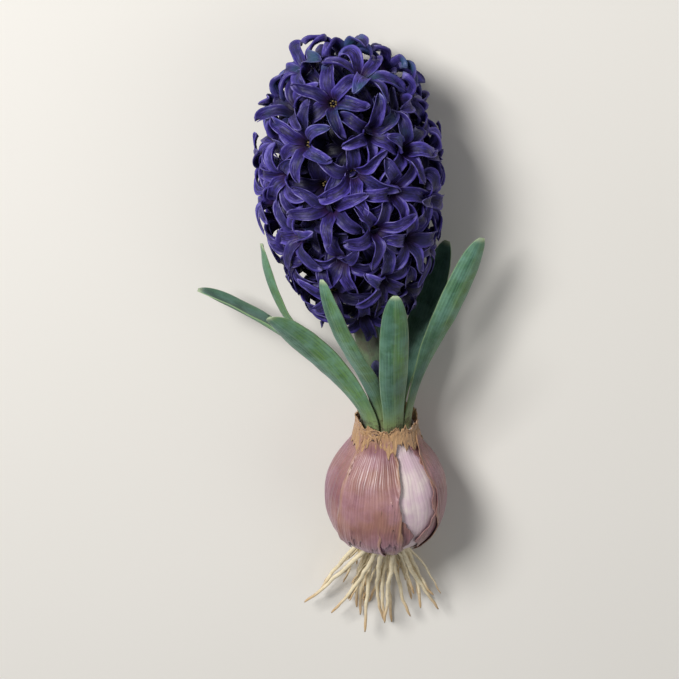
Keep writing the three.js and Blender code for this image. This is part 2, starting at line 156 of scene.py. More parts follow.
def smooth_line(knots: Array, per_span: int) -> Array:
    """Points on a centripetal spline through knots, evenly spaced in each span.

    Args:
        knots: The points that the line goes through.
        per_span: How many steps there are from one knot to the next.

    Returns:
        The points, per_span for each span and the last knot.
    """
    k = np.vstack([2 * knots[:1] - knots[1:2], knots, 2 * knots[-1:] - knots[-2:-1]])
    found = []
    w = np.linspace(0, 1, per_span, endpoint=False)[:, None]
    for i in range(len(knots) - 1):
        p0, p1, p2, p3 = k[i:i + 4]
        d0, d1, d2 = (max(np.linalg.norm(b - a), 1e-6) ** 0.5 for a, b in ((p0, p1), (p1, p2), (p2, p3)))
        m1 = ((p1 - p0) / d0 - (p2 - p0) / (d0 + d1) + (p2 - p1) / d1) * d1
        m2 = ((p2 - p1) / d1 - (p3 - p1) / (d1 + d2) + (p3 - p2) / d2) * d1
        found.append(p1 + m1 * w + (3 * (p2 - p1) - 2 * m1 - m2) * w**2 + (2 * (p1 - p2) + m1 + m2) * w**3)
    return np.vstack([*found, knots[-1:]])


def even_line(points: Array, count: int) -> tuple[Array, Array]:
    """Evenly spaced points along a polyline, with the direction at each.

    Args:
        points: The polyline.
        count: How many points are wanted.

    Returns:
        The points, and the unit directions.
    """
    steps = np.concatenate([[0], np.cumsum(np.linalg.norm(np.diff(points, axis=0), axis=1))])
    wanted = np.linspace(0, steps[-1], count)
    line = np.stack([np.interp(wanted, steps, points[:, j]) for j in range(3)], -1)
    return line, unit(np.gradient(line, axis=0))


# ---------------------------------------------------------------- where the plant lies

@dataclass(frozen=True)
class Lying:
    """How the plant lies: the stem rises a little towards the head, and soft parts press flat."""

    tilt_deg: float = 2.85
    height: float = 26.95
    shift_x: float = 22.5574
    shift_y: float = -97.2030
    squeeze: float = 2.2

    def turned(self) -> Array:
        """The rotation from the plant's frame to the row frame."""
        a = math.radians(self.tilt_deg) - math.pi / 2
        return np.array([[1, 0, 0], [0, math.cos(a), -math.sin(a)], [0, math.sin(a), math.cos(a)]])

    def down(self, points: Array) -> Array:
        """Points of the upright plant, moved to where they lie."""
        return points @ self.turned().T + np.array([self.shift_x, self.shift_y, self.height])

    def press(self, points: Array, thinnest: float | Array) -> Array:
        """Lifts lying points that are on or under the floor to thinnest above it, with a soft start.

        Args:
            points: Points where they lie.
            thinnest: The least height above the floor.

        Returns:
            The points, none of them lower than thinnest.
        """
        pressed = points.copy()
        soft = thinnest + self.squeeze
        low = thinnest + self.squeeze * np.exp(np.minimum(points[..., 2] - soft, 0) / self.squeeze)
        pressed[..., 2] = np.where(points[..., 2] < soft, low, points[..., 2])
        return pressed


LYING = Lying()


# ---------------------------------------------------------------- meshes

@dataclass
class Patch:
    """A closed bit of surface: its points where they lie, its faces, and marks that its finish reads."""

    points: Array
    faces: list[tuple[int, ...]]
    marks: dict[str, Array] = field(default_factory=dict)

    def marked(self, **marks: float | Array) -> "Patch":
        """Adds marks to the patch.

        Args:
            marks: The marks by name, each one number or one for each point.

        Returns:
            The patch itself.
        """
        for name, value in marks.items():
            self.marks[name] = np.broadcast_to(np.asarray(value, float), len(self.points)).copy()
        return self


def blade(middle: Array, half: Array) -> Patch:
    """A thin closed blade round a grid of points.

    Args:
        middle: The grid, along by across by 3.
        half: Half the thickness at each point.

    Returns:
        The patch. Its marks say how far along and across each point is, and which face it is on: 1 is the
        face that along x across points out of, and 0 the other.
    """
    rows, cols = middle.shape[:2]
    normal = unit(np.cross(np.gradient(middle, axis=0), np.gradient(middle, axis=1)))
    points = np.concatenate([(middle + normal * half[..., None]).reshape(-1, 3),
                             (middle - normal * half[..., None]).reshape(-1, 3)])
    n = rows * cols
    at = np.arange(n).reshape(rows, cols)
    a, b, c, d = (x.ravel() for x in (at[:-1, :-1], at[1:, :-1], at[1:, 1:], at[:-1, 1:]))
    faces = [*zip(a, b, c, d), *zip(d + n, c + n, b + n, a + n)]
    border = np.concatenate([at[:-1, 0], at[-1, :-1], at[:0:-1, -1], at[0, :0:-1]])
    following = np.roll(border, -1)
    faces += [*zip(following, border, border + n, following + n)]
    along = np.repeat(np.linspace(0, 1, rows), cols)
    across = np.tile(np.linspace(-1, 1, cols), rows)
    made = Patch(points, [tuple(map(int, f)) for f in faces])
    return made.marked(along=np.tile(along, 2), across=np.tile(across, 2), face=np.repeat([1.0, 0.0], n))


def loft(rings: Array) -> Patch:
    """A closed round body through rings of points that turn to the left round its direction.

    Args:
        rings: Rings by points by 3.

    Returns:
        The patch, with the marks along and across.
    """
    count, sides = rings.shape[:2]
    points = np.concatenate([rings.reshape(-1, 3), rings[0].mean(0)[None], rings[-1].mean(0)[None]])
    at = np.arange(count * sides).reshape(count, sides)
    turned = np.roll(at, -1, axis=1)
    faces = [*zip(at[:-1].ravel(), turned[:-1].ravel(), turned[1:].ravel(), at[1:].ravel())]
    first, last = count * sides, count * sides + 1
    faces += [(first, int(t), int(s)) for s, t in zip(at[0], turned[0])]
    faces += [(last, int(s), int(t)) for s, t in zip(at[-1], turned[-1])]
    along = np.concatenate([np.repeat(np.linspace(0, 1, count), sides), [0, 1]])
    across = np.concatenate([np.tile(np.linspace(-1, 1, sides, endpoint=False), count), [0, 0]])
    return Patch(points, [tuple(map(int, f)) for f in faces]).marked(along=along, across=across)


def rings_along(line: Array, radius: Array, sides: int, lobes: Array | float = 0.0) -> Array:
    """Rings of points across a line.

    Args:
        line: The centre of each ring.
        radius: The radius of each ring.
        sides: How many points a ring has.
        lobes: A share added to the radius, for each ring and point.

    Returns:
        Rings by points by 3.
    """
    along = unit(np.gradient(line, axis=0))
    start = np.array([1.0, 0, 0]) if abs(along[0][2]) > 0.9 else np.array([0, 0, 1.0])
    side = unit(np.cross(start, along[0]))
    turns = ring_turns(sides)[:, None]
    rings = []
    shape = np.broadcast_to(1 + np.asarray(lobes, float), (len(line), sides))
    for centre, way, r, out in zip(line, along, radius, shape):
        side = unit(side - way * (side @ way))
        other = np.cross(way, side)
        rings.append(centre + r * out[:, None] * (np.cos(turns) * side + np.sin(turns) * other))
    return np.array(rings)


class Piece:
    """One object of the plant, gathered from patches."""

    def __init__(self, name: str, *finishes: bpy.types.Material) -> None:
        """Names the piece and lists the finishes that its patches use.

        Args:
            name: The piece's name.
            finishes: The finishes, in the order that patches count them.
        """
        self.name = name
        self.finishes = finishes
        self.patches: list[tuple[Patch, int]] = []

    def add(self, patch: Patch, finish: int = 0) -> None:
        """Adds a patch with one of the piece's finishes."""
        self.patches.append((patch, finish))

    def build(self, slot: str, *nodes: str) -> bpy.types.Object:
        """Makes the object, which rides on the root body and stands for the nodes.

        Args:
            slot: The record's material slot.
            nodes: The solids that the piece stands for.

        Returns:
            The object.
        """
        points, faces, which, start = [], [], [], 0
        names = sorted({name for patch, _ in self.patches for name in patch.marks})
        marks: dict[str, list[Array]] = {name: [] for name in names}
        for patch, finish in self.patches:
            points.append(patch.points)
            faces += [tuple(i + start for i in f) for f in patch.faces]
            which += [finish] * len(patch.faces)
            start += len(patch.points)
            for name in names:
                marks[name].append(patch.marks.get(name, np.zeros(len(patch.points))))
        mesh = bpy.data.meshes.new(self.name)
        mesh.from_pydata((np.concatenate(points) * MM).tolist(), [], faces)
        for name in names:
            mesh.attributes.new(name, "FLOAT", "POINT").data.foreach_set(
                "value", np.concatenate(marks[name]).astype(np.float32))
        for finish in self.finishes:
            mesh.materials.append(finish)
        mesh.polygons.foreach_set("material_index", which)
        mesh.polygons.foreach_set("use_smooth", [True] * len(mesh.polygons))
        mesh.update()
        made = bpy.data.objects.new(self.name, mesh)
        bpy.context.scene.collection.objects.link(made)
        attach(made, "root")
        if nodes:
            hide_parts(*nodes)
        LOG.info("%s: %d faces", self.name, len(faces))
        return made


# ---------------------------------------------------------------- finishes

def tint(code: str) -> tuple[float, float, float, float]:
    """A colour as Blender's nodes take it.

    Args:
        code: Six hexadecimal digits.

    Returns:
        The colour in linear light, with alpha 1.
    """
    parts = [int(code[i:i + 2], 16) / 255 for i in (0, 2, 4)]
    r, g, b = (c / 12.92 if c <= 0.04045 else ((c + 0.055) / 1.055) ** 2.4 for c in parts)
    return r, g, b, 1.0


Socket = bpy.types.NodeSocket


class Paint:
    """Puts nodes into one node tree and hands back their outputs."""

    def __init__(self, tree: bpy.types.NodeTree) -> None:
        """Works on the given tree."""
        self.tree = tree

    def node(self, kind: str, inputs: dict | None = None, **settings: object) -> bpy.types.Node:
        """Adds a node.

        Args:
            kind: The node's type after ShaderNode.
            inputs: Values or outputs of other nodes, by the input's name or number.
            settings: The node's own properties.

        Returns:
            The node.
        """
        made = self.tree.nodes.new("ShaderNode" + kind)
        for key, value in settings.items():
            setattr(made, key, value)
        for key, value in (inputs or {}).items():
            if isinstance(value, bpy.types.NodeSocket):
                self.tree.links.new(value, made.inputs[key])
            else:
                made.inputs[key].default_value = value
        return made

    def math(self, operation: str, *values: float | Socket, clamp: bool = False) -> Socket:
        """The result of a sum on one or two values."""
        return self.node("Math", dict(enumerate(values)), operation=operation, use_clamp=clamp).outputs[0]

    def times(self, value: float | Socket, factor: float | Socket) -> Socket:
        """One value times another."""
        return self.math("MULTIPLY", value, factor)

    def plus(self, value: float | Socket, other: float | Socket) -> Socket:
        """One value and another added."""
        return self.math("ADD", value, other)

    def stray(self, value: float | Socket, noise: Socket, width: float) -> Socket:
        """A value that noise from 0 to 1 moves to and fro."""
        return self.plus(value, self.times(self.math("SUBTRACT", noise, 0.5), width))

    def step(self, value: Socket, low: float, high: float, to_low: float = 0.0,
             to_high: float = 1.0) -> Socket:
        """A smooth step of a value, from to_low at low to to_high at high."""
        return self.node("MapRange", {0: value, 1: low, 2: high, 3: to_low, 4: to_high},
                         interpolation_type="SMOOTHSTEP").outputs[0]

    def blend(self, share: float | Socket, first: object, second: object) -> Socket:
        """A colour between two others, at share 0 the first and at 1 the second."""
        return self.node("Mix", {0: share, 6: first, 7: second}, data_type="RGBA",
                         clamp_factor=True).outputs[2]

    def over(self, colour: Socket, share: float | Socket, code: str) -> Socket:
        """A colour with another laid over it by a share."""
        return self.blend(share, colour, tint(code))

    def mark(self, name: str) -> Socket:
        """One of the marks that a piece's mesh carries."""
        return self.node("Attribute", attribute_name=name, attribute_type="GEOMETRY").outputs["Fac"]

    def where(self, x: object = None, y: object = 0.0, z: object = 0.0) -> Socket:
        """Coordinates made of three values, or the place in the row frame in metres.

        Args:
            x: The first value. Without it the place is meant.
            y: The second value.
            z: The third value.

        Returns:
            The coordinates.
        """
        if x is None:
            return self.node("TexCoord").outputs["Object"]
        return self.node("CombineXYZ", {0: x, 1: y, 2: z}).outputs[0]

    def noise(self, where: Socket, scale: float | Socket, detail: float = 3.0, rough: float = 0.55) -> Socket:
        """Soft noise from 0 to 1."""
        return self.node("TexNoise", {"Vector": where, "Scale": scale, "Detail": detail, "Roughness": rough}
                         ).outputs[0]

    def place(self, effect: bpy.types.NodeTree, **inputs: object) -> bpy.types.Node:
        """Puts a shared effect into this tree, with its own values.

        Args:
            effect: The node group.
            inputs: Values or outputs of other nodes, by the input's name in small letters.

        Returns:
            The group's node.
        """
        made = self.tree.nodes.new("ShaderNodeGroup")
        made.node_tree = effect
        for key, value in inputs.items():
            name = key.replace("_", " ").title()
            if isinstance(value, bpy.types.NodeSocket):
                self.tree.links.new(value, made.inputs[name])
            else:
                made.inputs[name].default_value = value
        return made

    def finish(self, height: Socket | None, lift: float, depth: float, **sockets: object) -> None:
        """Adds the surface shader and the output.

        Args:
            height: The height for the bump, if there is one.
            lift: The bump's strength.
            depth: The bump's height in millimetres.
            sockets: Values or outputs for the shader's sockets, with _ for a space.
        """
        inputs = {key.replace("_", " "): value for key, value in sockets.items()}
        if height is not None:
            bump = self.node("Bump", {"Strength": lift, "Distance": depth * MM, "Height": height})
            inputs["Normal"] = bump.outputs[0]
        shader = self.node("BsdfPrincipled", inputs)
        self.node("OutputMaterial", {"Surface": shader.outputs[0]})


class Kind(Enum):
    """The kinds of socket that a shared effect has."""

    NUMBER = "NodeSocketFloat"
    COLOUR = "NodeSocketColor"


class Effects:
    """The shader node groups that several finishes share, each built once."""

    def __init__(self) -> None:
        """Builds all groups."""
        self.veins = self._group("parallel_veins", {"Across": Kind.NUMBER, "Along": Kind.NUMBER,
                                                    "Count": Kind.NUMBER, "Seed": Kind.NUMBER},
                                 {"Line": Kind.NUMBER, "Fine": Kind.NUMBER}, self._veins)
        self.soil = self._group("soil_stain", {"Color": Kind.COLOUR, "Amount": Kind.NUMBER,
                                               "Scale": Kind.NUMBER},
                                {"Color": Kind.COLOUR, "Mask": Kind.NUMBER}, self._soil)
        self.mottle = self._group("mottle", {"Color": Kind.COLOUR, "Tint": Kind.COLOUR, "Scale": Kind.NUMBER,
                                             "Share": Kind.NUMBER}, {"Color": Kind.COLOUR}, self._mottle)
        self.grain = self._group("fine_grain", {"Scale": Kind.NUMBER}, {"Height": Kind.NUMBER}, self._grain)

    @staticmethod
    def _group(name: str, inputs: dict[str, Kind], outputs: dict[str, Kind],
               wire: Callable[[Paint, bpy.types.Node], dict[str, Socket]]) -> bpy.types.NodeTree:
        """Makes a group with named sockets.

        Args:
            name: The group's name.
            inputs: The kind of each input.
            outputs: The kind of each output.
            wire: Adds the nodes and gives the output for each name.

        Returns:
            The node group.
        """
        tree = bpy.data.node_groups.new(name, "ShaderNodeTree")
        for way, sockets in (("INPUT", inputs), ("OUTPUT", outputs)):
            for title, kind in sockets.items():
                tree.interface.new_socket(title, in_out=way, socket_type=kind.value)
        entry, end = tree.nodes.new("NodeGroupInput"), tree.nodes.new("NodeGroupOutput")
        for title, socket in wire(Paint(tree), entry).items():
            tree.links.new(socket, end.inputs[title])
        return tree

    @staticmethod
    def _veins(p: Paint, entry: bpy.types.Node) -> dict[str, Socket]:
        """Lines that run along a blade: even ones that wander a little, and fine streaks.

        Args:
            p: Paints the group.
            entry: The node that the inputs come out of.

        Returns:
            The group's outputs, by name.
        """
        across, along, count, seed = (entry.outputs[n] for n in ("Across", "Along", "Count", "Seed"))
        drift = p.noise(p.where(p.times(across, 2.0), p.times(along, 3.0), seed), 1.0, 2.0)
        moved = p.stray(across, drift, 0.09)
        wave = p.math("SINE", p.times(moved, p.times(count, math.pi)))
        line = p.math("POWER", p.math("ABSOLUTE", wave), 0.6)
        fine = p.noise(p.where(p.times(moved, count), p.times(along, 2.5), seed), 2.2, 4.0)
        return {"Line": line, "Fine": fine}

    @staticmethod
    def _soil(p: Paint, entry: bpy.types.Node) -> dict[str, Socket]:
        """Dried earth that clings in patches and specks.

        Args:
            p: Paints the group.
            entry: The node that the inputs come out of.

        Returns:
            The group's outputs, by name.
        """
        where = p.where()
        scale = entry.outputs["Scale"]
        patches = p.noise(where, scale, 6.0, 0.7)
        specks = p.noise(where, p.times(scale, 9.0), 3.0, 0.6)
        level = p.plus(p.times(patches, 0.7), p.times(specks, 0.3))
        edge = p.math("SUBTRACT", 1.02, entry.outputs["Amount"])
        mask = p.math("MULTIPLY", p.math("SUBTRACT", level, p.times(edge, 0.72)), 8.0, clamp=True)
        earth = p.blend(specks, tint("2e2019"), tint("5b4535"))
        return {"Color": p.blend(p.times(mask, 0.85), entry.outputs["Color"], earth), "Mask": mask}

    @staticmethod
    def _mottle(p: Paint, entry: bpy.types.Node) -> dict[str, Socket]:
        """A second colour in soft clouds.

        Args:
            p: Paints the group.
            entry: The node that the inputs come out of.

        Returns:
            The group's outputs, by name.
        """
        clouds = p.noise(p.where(), entry.outputs["Scale"], 4.0, 0.6)
        mask = p.times(p.step(clouds, 0.36, 0.66), entry.outputs["Share"])
        return {"Color": p.blend(mask, entry.outputs["Color"], entry.outputs["Tint"])}

    @staticmethod
    def _grain(p: Paint, entry: bpy.types.Node) -> dict[str, Socket]:
        """Tiny bumps, as of the cells of a skin.

        Args:
            p: Paints the group.
            entry: The node that the inputs come out of.

        Returns:
            The group's outputs, by name.
        """
        scale = entry.outputs["Scale"]
        cells = p.node("TexVoronoi", {"Vector": p.where(), "Scale": scale}).outputs["Distance"]
        soft = p.noise(p.where(), p.times(scale, 0.23), 3.0)
        return {"Height": p.plus(p.times(cells, 0.5), p.times(soft, 0.8))}

    def lines(self, p: Paint, across: Socket, along: Socket, count: float,
              seed: float | Socket) -> tuple[Socket, Socket]:
        """The veins of a blade: the even lines, 0 on a line, and the fine streaks."""
        veins = p.place(self.veins, across=across, along=along, count=count, seed=seed)
        return veins.outputs["Line"], veins.outputs["Fine"]

    def clouded(self, p: Paint, colour: Socket, code: str, scale: float, share: float) -> Socket:
        """A colour with a second one over it in soft clouds."""
        return p.place(self.mottle, color=colour, tint=tint(code), scale=scale, share=share).outputs["Color"]

    def stained(self, p: Paint, colour: Socket, amount: float | Socket,
                scale: float) -> tuple[Socket, Socket]:
        """A colour with dried earth on it, and where the earth is."""
        stain = p.place(self.soil, color=colour, amount=amount, scale=scale)
        return stain.outputs["Color"], stain.outputs["Mask"]

    def grained(self, p: Paint, scale: float) -> Socket:
        """The height of tiny bumps."""
        return p.place(self.grain, scale=scale).outputs["Height"]


@dataclass(frozen=True)
class Finish:
    """A finish: its name, and the way it is painted."""

    name: str

    def make(self, effects: Effects) -> bpy.types.Material:
        """Makes the material.

        Args:
            effects: The shared node groups.

        Returns:
            The material.
        """
        material = bpy.data.materials.new(self.name)
        material.use_nodes = True
        material.node_tree.nodes.clear()
        self.paint(Paint(material.node_tree), effects)
        return material

    def paint(self, p: Paint, effects: Effects) -> None:
        """Adds the finish's nodes. Each finish has its own."""
        raise NotImplementedError


@dataclass(frozen=True)
class PetalFinish(Finish):
    """Velvety deep violet petals with a pale rim that also carries a painted highlight, silver flecks of
    painted sheen, a dark middle line, a purple throat, and painted shade deep in the head.
    """

    name: str = "petal_violet"
    deep: str = "1a123e"
    body: str = "382c80"
    soft: str = "564aa4"
    # silver is the colour of the painted sheen flecks
    silver: str = "8476c8"
    # rim is the colour of a paler margin that also serves as a painted highlight on edges and tips
    rim: str = "9a92cc"
    line: str = "161128"
    throat: str = "2c1438"
    blue: str = "323f6a"
    teal: str = "2c5564"
    # shadow is the painted shade colour for petals that lie deep in the head
    shadow: str = "070510"
    sheen: str = "8c80d8"

    def paint(self, p: Paint, effects: Effects) -> None:
        """Adds the petal's nodes.

        Args:
            p: Paints the material.
            effects: The shared node groups.
        """
        along, across, tone, depth = (p.mark(n) for n in ("along", "across", "tone", "depth"))
        side = p.math("ABSOLUTE", across)
        seed = p.times(tone, 40.0)
        band, streak = effects.lines(p, across, along, 3.0, seed)
        fine = effects.lines(p, across, along, 9.0, seed)[1]
        uneven = p.noise(p.where(), 210.0, 4.0)
        wavy = p.stray(side, uneven, 0.6)
        colour = p.blend(p.step(streak, 0.4, 0.68), tint(self.deep), tint(self.body))
        colour = p.over(colour, p.times(p.step(tone, 0.3, 1.0), 0.25), self.blue)
        colour = p.over(colour, p.step(wavy, 0.35, 1.0, 0.0, 0.85), self.soft)
        # painted sheen: silver flecks stand in for the glistening highlights of the petals
        sheen_fleck = p.times(p.step(fine, 0.5, 0.72), p.step(uneven, 0.38, 0.62, 0.1, 0.85))
        colour = p.over(colour, p.times(sheen_fleck, p.step(along, 0.25, 0.6)), self.silver)
        colour = p.over(colour, p.step(band, 0.0, 0.6, 0.5, 0.0), self.deep)
        shade = p.math("FRACT", p.times(tone, 7.13))
        colour = p.over(colour, p.times(shade, 0.6), self.deep)
        # pale rim and tip: partly a paler margin, partly painted highlight where the raised edges catch the
        # light
        rim = p.times(p.step(side, 0.86, 0.99), p.step(uneven, 0.45, 0.68, 0.0, 0.55))
        colour = p.over(colour, rim, self.rim)
        colour = p.over(colour, p.step(along, 0.92, 1.0, 0.0, 0.25), self.rim)
        crease = p.times(p.step(side, 0.0, 0.26, 0.6, 0.0), p.step(uneven, 0.3, 0.7, 1.0, 0.4))
        colour = p.over(colour, crease, self.line)
        colour = p.over(colour, p.step(along, 0.1, 0.36, 0.85, 0.0), self.throat)
        north = p.node("SeparateXYZ", {0: p.where()}).outputs[1]
        top = p.times(p.step(north, 0.105, 0.15), p.step(p.noise(p.where(), 60.0, 2.0), 0.5, 0.7))
        colour = p.over(colour, p.times(top, 0.5), self.teal)
        # painted shade: the depth mark darkens petals deep inside the head towards near black
        colour = p.over(colour, p.times(depth, 0.93), self.shadow)
        height = p.plus(p.times(band, 0.5), p.times(effects.grained(p, 5200.0), 0.25))
        height = p.plus(height, p.times(p.noise(p.where(), 620.0, 3.0), 1.6))
        rough = p.math("SUBTRACT", p.step(fine, 0.2, 0.8, 0.5, 0.68), p.times(side, 0.18))
        p.finish(height, 0.6, 0.22, Base_Color=colour, Roughness=rough, Sheen_Weight=0.15,
                 Sheen_Roughness=0.3, Sheen_Tint=tint(self.sheen), Specular_IOR_Level=0.26)


@dataclass(frozen=True)
class TubeFinish(Finish):
    """The outside of a floret's tube: dull violet with bluish clouds, almost black at its foot, and darkened
    with painted shade where it lies deep in the head.
    """

    name: str = "tube_violet"
    dark: str = "120d2c"
    body: str = "2a2260"
    blue: str = "2a4468"
    foot: str = "100c16"
    # shadow is the painted shade colour for tubes that lie deep in the head
    shadow: str = "08060f"

    def paint(self, p: Paint, effects: Effects) -> None:
        """Adds the tube's nodes.

        Args:
            p: Paints the material.
            effects: The shared node groups.
        """
        along, across = p.mark("along"), p.mark("across")
        line, fine = effects.lines(p, across, along, 12.0, 3.0)
        colour = p.blend(fine, tint(self.dark), tint(self.body))
        colour = effects.clouded(p, colour, self.blue, 180.0, 0.4)
        colour = p.over(colour, p.step(along, 0.3, 0.8, 0.85, 0.0), self.foot)
        # painted shade: the depth mark darkens the tubes of the inner layer
        colour = p.over(colour, p.times(p.mark("depth"), 0.6), self.shadow)
        height = p.plus(line, effects.grained(p, 4200.0))
        p.finish(height, 0.4, 0.1, Base_Color=colour, Roughness=p.step(fine, 0.2, 0.8, 0.4, 0.6))


@dataclass(frozen=True)
class BudFinish(Finish):
    """The closed bud: a green stalk and a dull blue-violet body with darker ribs."""

    name: str = "bud_violet"
    dull: str = "4b4a86"
    pale: str = "8584b4"
    rib: str = "2a2658"
    stalk: str = "5f7454"

    def paint(self, p: Paint, effects: Effects) -> None:
        """Adds the bud's nodes.

        Args:
            p: Paints the material.
            effects: The shared node groups.
        """
        along, across = p.mark("along"), p.mark("across")
        line, fine = effects.lines(p, across, along, 12.0, 8.0)
        colour = p.blend(fine, tint(self.dull), tint(self.pale))
        colour = p.over(colour, p.step(line, 0.0, 0.5, 0.5, 0.0), self.rib)
        colour = p.over(colour, p.step(along, 0.3, 0.5, 0.9, 0.0), self.stalk)
        height = p.plus(line, effects.grained(p, 4200.0))
        p.finish(height, 0.4, 0.1, Base_Color=colour, Roughness=p.step(fine, 0.2, 0.8, 0.4, 0.6))


@dataclass(frozen=True)
class AntherFinish(Finish):
    """Pale ochre anthers with a dusky side and dry pollen."""

    name: str = "anther_ochre"
    ochre: str = "94804e"
    dusk: str = "33263a"
    pollen: str = "5c4a2e"

    def paint(self, p: Paint, effects: Effects) -> None:
        """Adds the anther's nodes.

        Args:
            p: Paints the material.
            effects: The shared node groups.
        """
        grain = effects.grained(p, 9000.0)
        colour = p.blend(p.step(p.mark("along"), 0.1, 0.9, 1.0, 0.0), tint(self.ochre), tint(self.dusk))
        colour = effects.clouded(p, colour, self.pollen, 1500.0, 0.8)
        p.finish(grain, 0.6, 0.08, Base_Color=colour, Roughness=p.step(grain, 0.2, 0.8, 0.7, 0.95))


@dataclass(frozen=True)
class LeafFinish(Finish):
    """A fleshy leaf under bloom: blue-green inside, fresher outside, with a pale rim, tip and foot."""

    name: str = "leaf_green"
    blue: str = "2c5a48"
    fresh: str = "5b8236"
    green: str = "356545"
    dark: str = "1e4332"
    pale: str = "9bb480"
    edge: str = "7ba277"
    streak: str = "7d9f78"
    bloom: str = "76a093"
    cloud: str = "27493a"
    low: str = "8b9862"
    foot: str = "cfc8a4"
    tip: str = "c6cfa6"
    sheen: str = "bfe0e0"

    def paint(self, p: Paint, effects: Effects) -> None:
        """Adds the leaf's nodes.

        Args:
            p: Paints the material.
            effects: The shared node groups.
        """
        along, across, face, tone = (p.mark(n) for n in ("along", "across", "face", "tone"))
        side = p.math("ABSOLUTE", across)
        seed = p.times(tone, 9.0)
        rib, broad = effects.lines(p, across, along, 5.0, seed)
        line, fine = effects.lines(p, across, along, 17.0, seed)
        turned = p.stray(across, p.noise(p.where(), 34.0, 2.0), 1.6)
        outside = p.blend(p.step(turned, -0.35, 0.35), tint(self.fresh), tint(self.green))
        outside = p.over(outside, p.step(side, 0.0, 0.1, 0.4, 0.0), self.pale)
        colour = p.blend(face, tint(self.blue), outside)
        colour = p.over(colour, p.step(side, 0.3, 0.95, 0.0, 0.4), self.edge)
        colour = p.over(colour, p.step(broad, 0.3, 0.6, 0.6, 0.0), self.dark)
        colour = p.over(colour, p.step(rib, 0.0, 0.55, 0.45, 0.0), self.dark)
        colour = p.over(colour, p.step(line, 0.0, 0.75, 0.4, 0.0), self.dark)
        colour = p.over(colour, p.step(fine, 0.4, 0.75, 0.0, 0.4), self.streak)
        colour = effects.clouded(p, colour, self.bloom, 130.0, 0.45)
        colour = effects.clouded(p, colour, self.cloud, 26.0, 0.6)
        colour = p.over(colour, p.step(along, 0.1, 0.34, 0.8, 0.0), self.low)
        colour = p.over(colour, p.step(along, 0.05, 0.15, 0.9, 0.0), self.foot)
        colour = p.over(colour, p.step(p.stray(side, fine, 0.05), 0.94, 0.99, 0.0, 0.6), self.pale)
        colour = p.over(colour, p.step(along, 0.972, 0.998, 0.0, 0.55), self.tip)
        colour, earth = effects.stained(p, colour, p.step(along, 0.12, 0.32, 0.42, 0.0), 150.0)
        height = p.plus(p.times(rib, 1.6), p.times(effects.grained(p, 3600.0), 0.25))
        height = p.plus(height, p.times(line, 0.7))
        rough = p.plus(p.step(fine, 0.25, 0.75, 0.42, 0.58), p.times(earth, 0.3))
        p.finish(height, 0.5, 0.2, Base_Color=colour, Roughness=rough, Sheen_Weight=0.12,
                 Sheen_Tint=tint(self.sheen), Specular_IOR_Level=0.4)


@dataclass(frozen=True)
class StemFinish(Finish):
    """A dull green stem with a maroon flush that deepens into the head, pale at its foot."""

    name: str = "stem_green"
    dull: str = "47604a"
    pale: str = "76896a"
    fresh: str = "8a9a74"
    flush: str = "5a3c40"
    top: str = "2a1820"
    foot: str = "d2cfa8"

    def paint(self, p: Paint, effects: Effects) -> None:
        """Adds the stem's nodes.

        Args:
            p: Paints the material.
            effects: The shared node groups.
        """
        along, across = p.mark("along"), p.mark("across")
        line, fine = effects.lines(p, across, along, 22.0, 5.0)
        colour = p.blend(fine, tint(self.dull), tint(self.pale))
        colour = effects.clouded(p, colour, self.fresh, 90.0, 0.5)
        colour = effects.clouded(p, colour, self.flush, 160.0, 0.5)
        colour = p.over(colour, p.step(along, 0.7, 1.0, 0.0, 0.8), self.top)
        colour = p.over(colour, p.step(along, 0.02, 0.2, 0.9, 0.0), self.foot)
        height = p.plus(line, effects.grained(p, 2800.0))
        p.finish(height, 0.5, 0.15, Base_Color=colour, Roughness=p.step(fine, 0.2, 0.8, 0.38, 0.6))


@dataclass(frozen=True)
class TunicFinish(Finish):
    """The papery skin of the bulb: violet-brown with silver streaks, tan and torn where it is dry."""

    name: str = "tunic_paper"
    violet: str = "4a2238"
    rose: str = "8c5470"
    vein: str = "371627"
    silver: str = "b48aa0"
    brown: str = "93684c"
    dry_dark: str = "7a5236"
    dry_pale: str = "c9a577"
    sheen: str = "e8cfe0"

    def paint(self, p: Paint, effects: Effects) -> None:
        """Adds the tunic's nodes.

        Args:
            p: Paints the material.
            effects: The shared node groups.
        """
        line, fine = effects.lines(p, p.mark("turn"), p.mark("along"), 62.0, 7.0)
        colour = p.blend(fine, tint(self.violet), tint(self.rose))
        colour = p.over(colour, p.times(p.step(line, 0.0, 0.6, 1.0, 0.0), 0.5), self.vein)
        colour = effects.clouded(p, colour, self.silver, 70.0, 0.45)
        colour = effects.clouded(p, colour, self.brown, 42.0, 0.5)
        colour = p.blend(p.mark("dry"), colour, p.blend(fine, tint(self.dry_dark), tint(self.dry_pale)))
        colour, earth = effects.stained(p, colour, 0.16, 110.0)
        height = p.plus(p.times(line, 0.9), p.times(fine, 0.6))
        rough = p.plus(p.step(fine, 0.2, 0.8, 0.3, 0.5), p.times(earth, 0.35))
        p.finish(height, 0.6, 0.25, Base_Color=colour, Roughness=rough, Sheen_Weight=0.25,
                 Sheen_Tint=tint(self.sheen), Specular_IOR_Level=0.45)


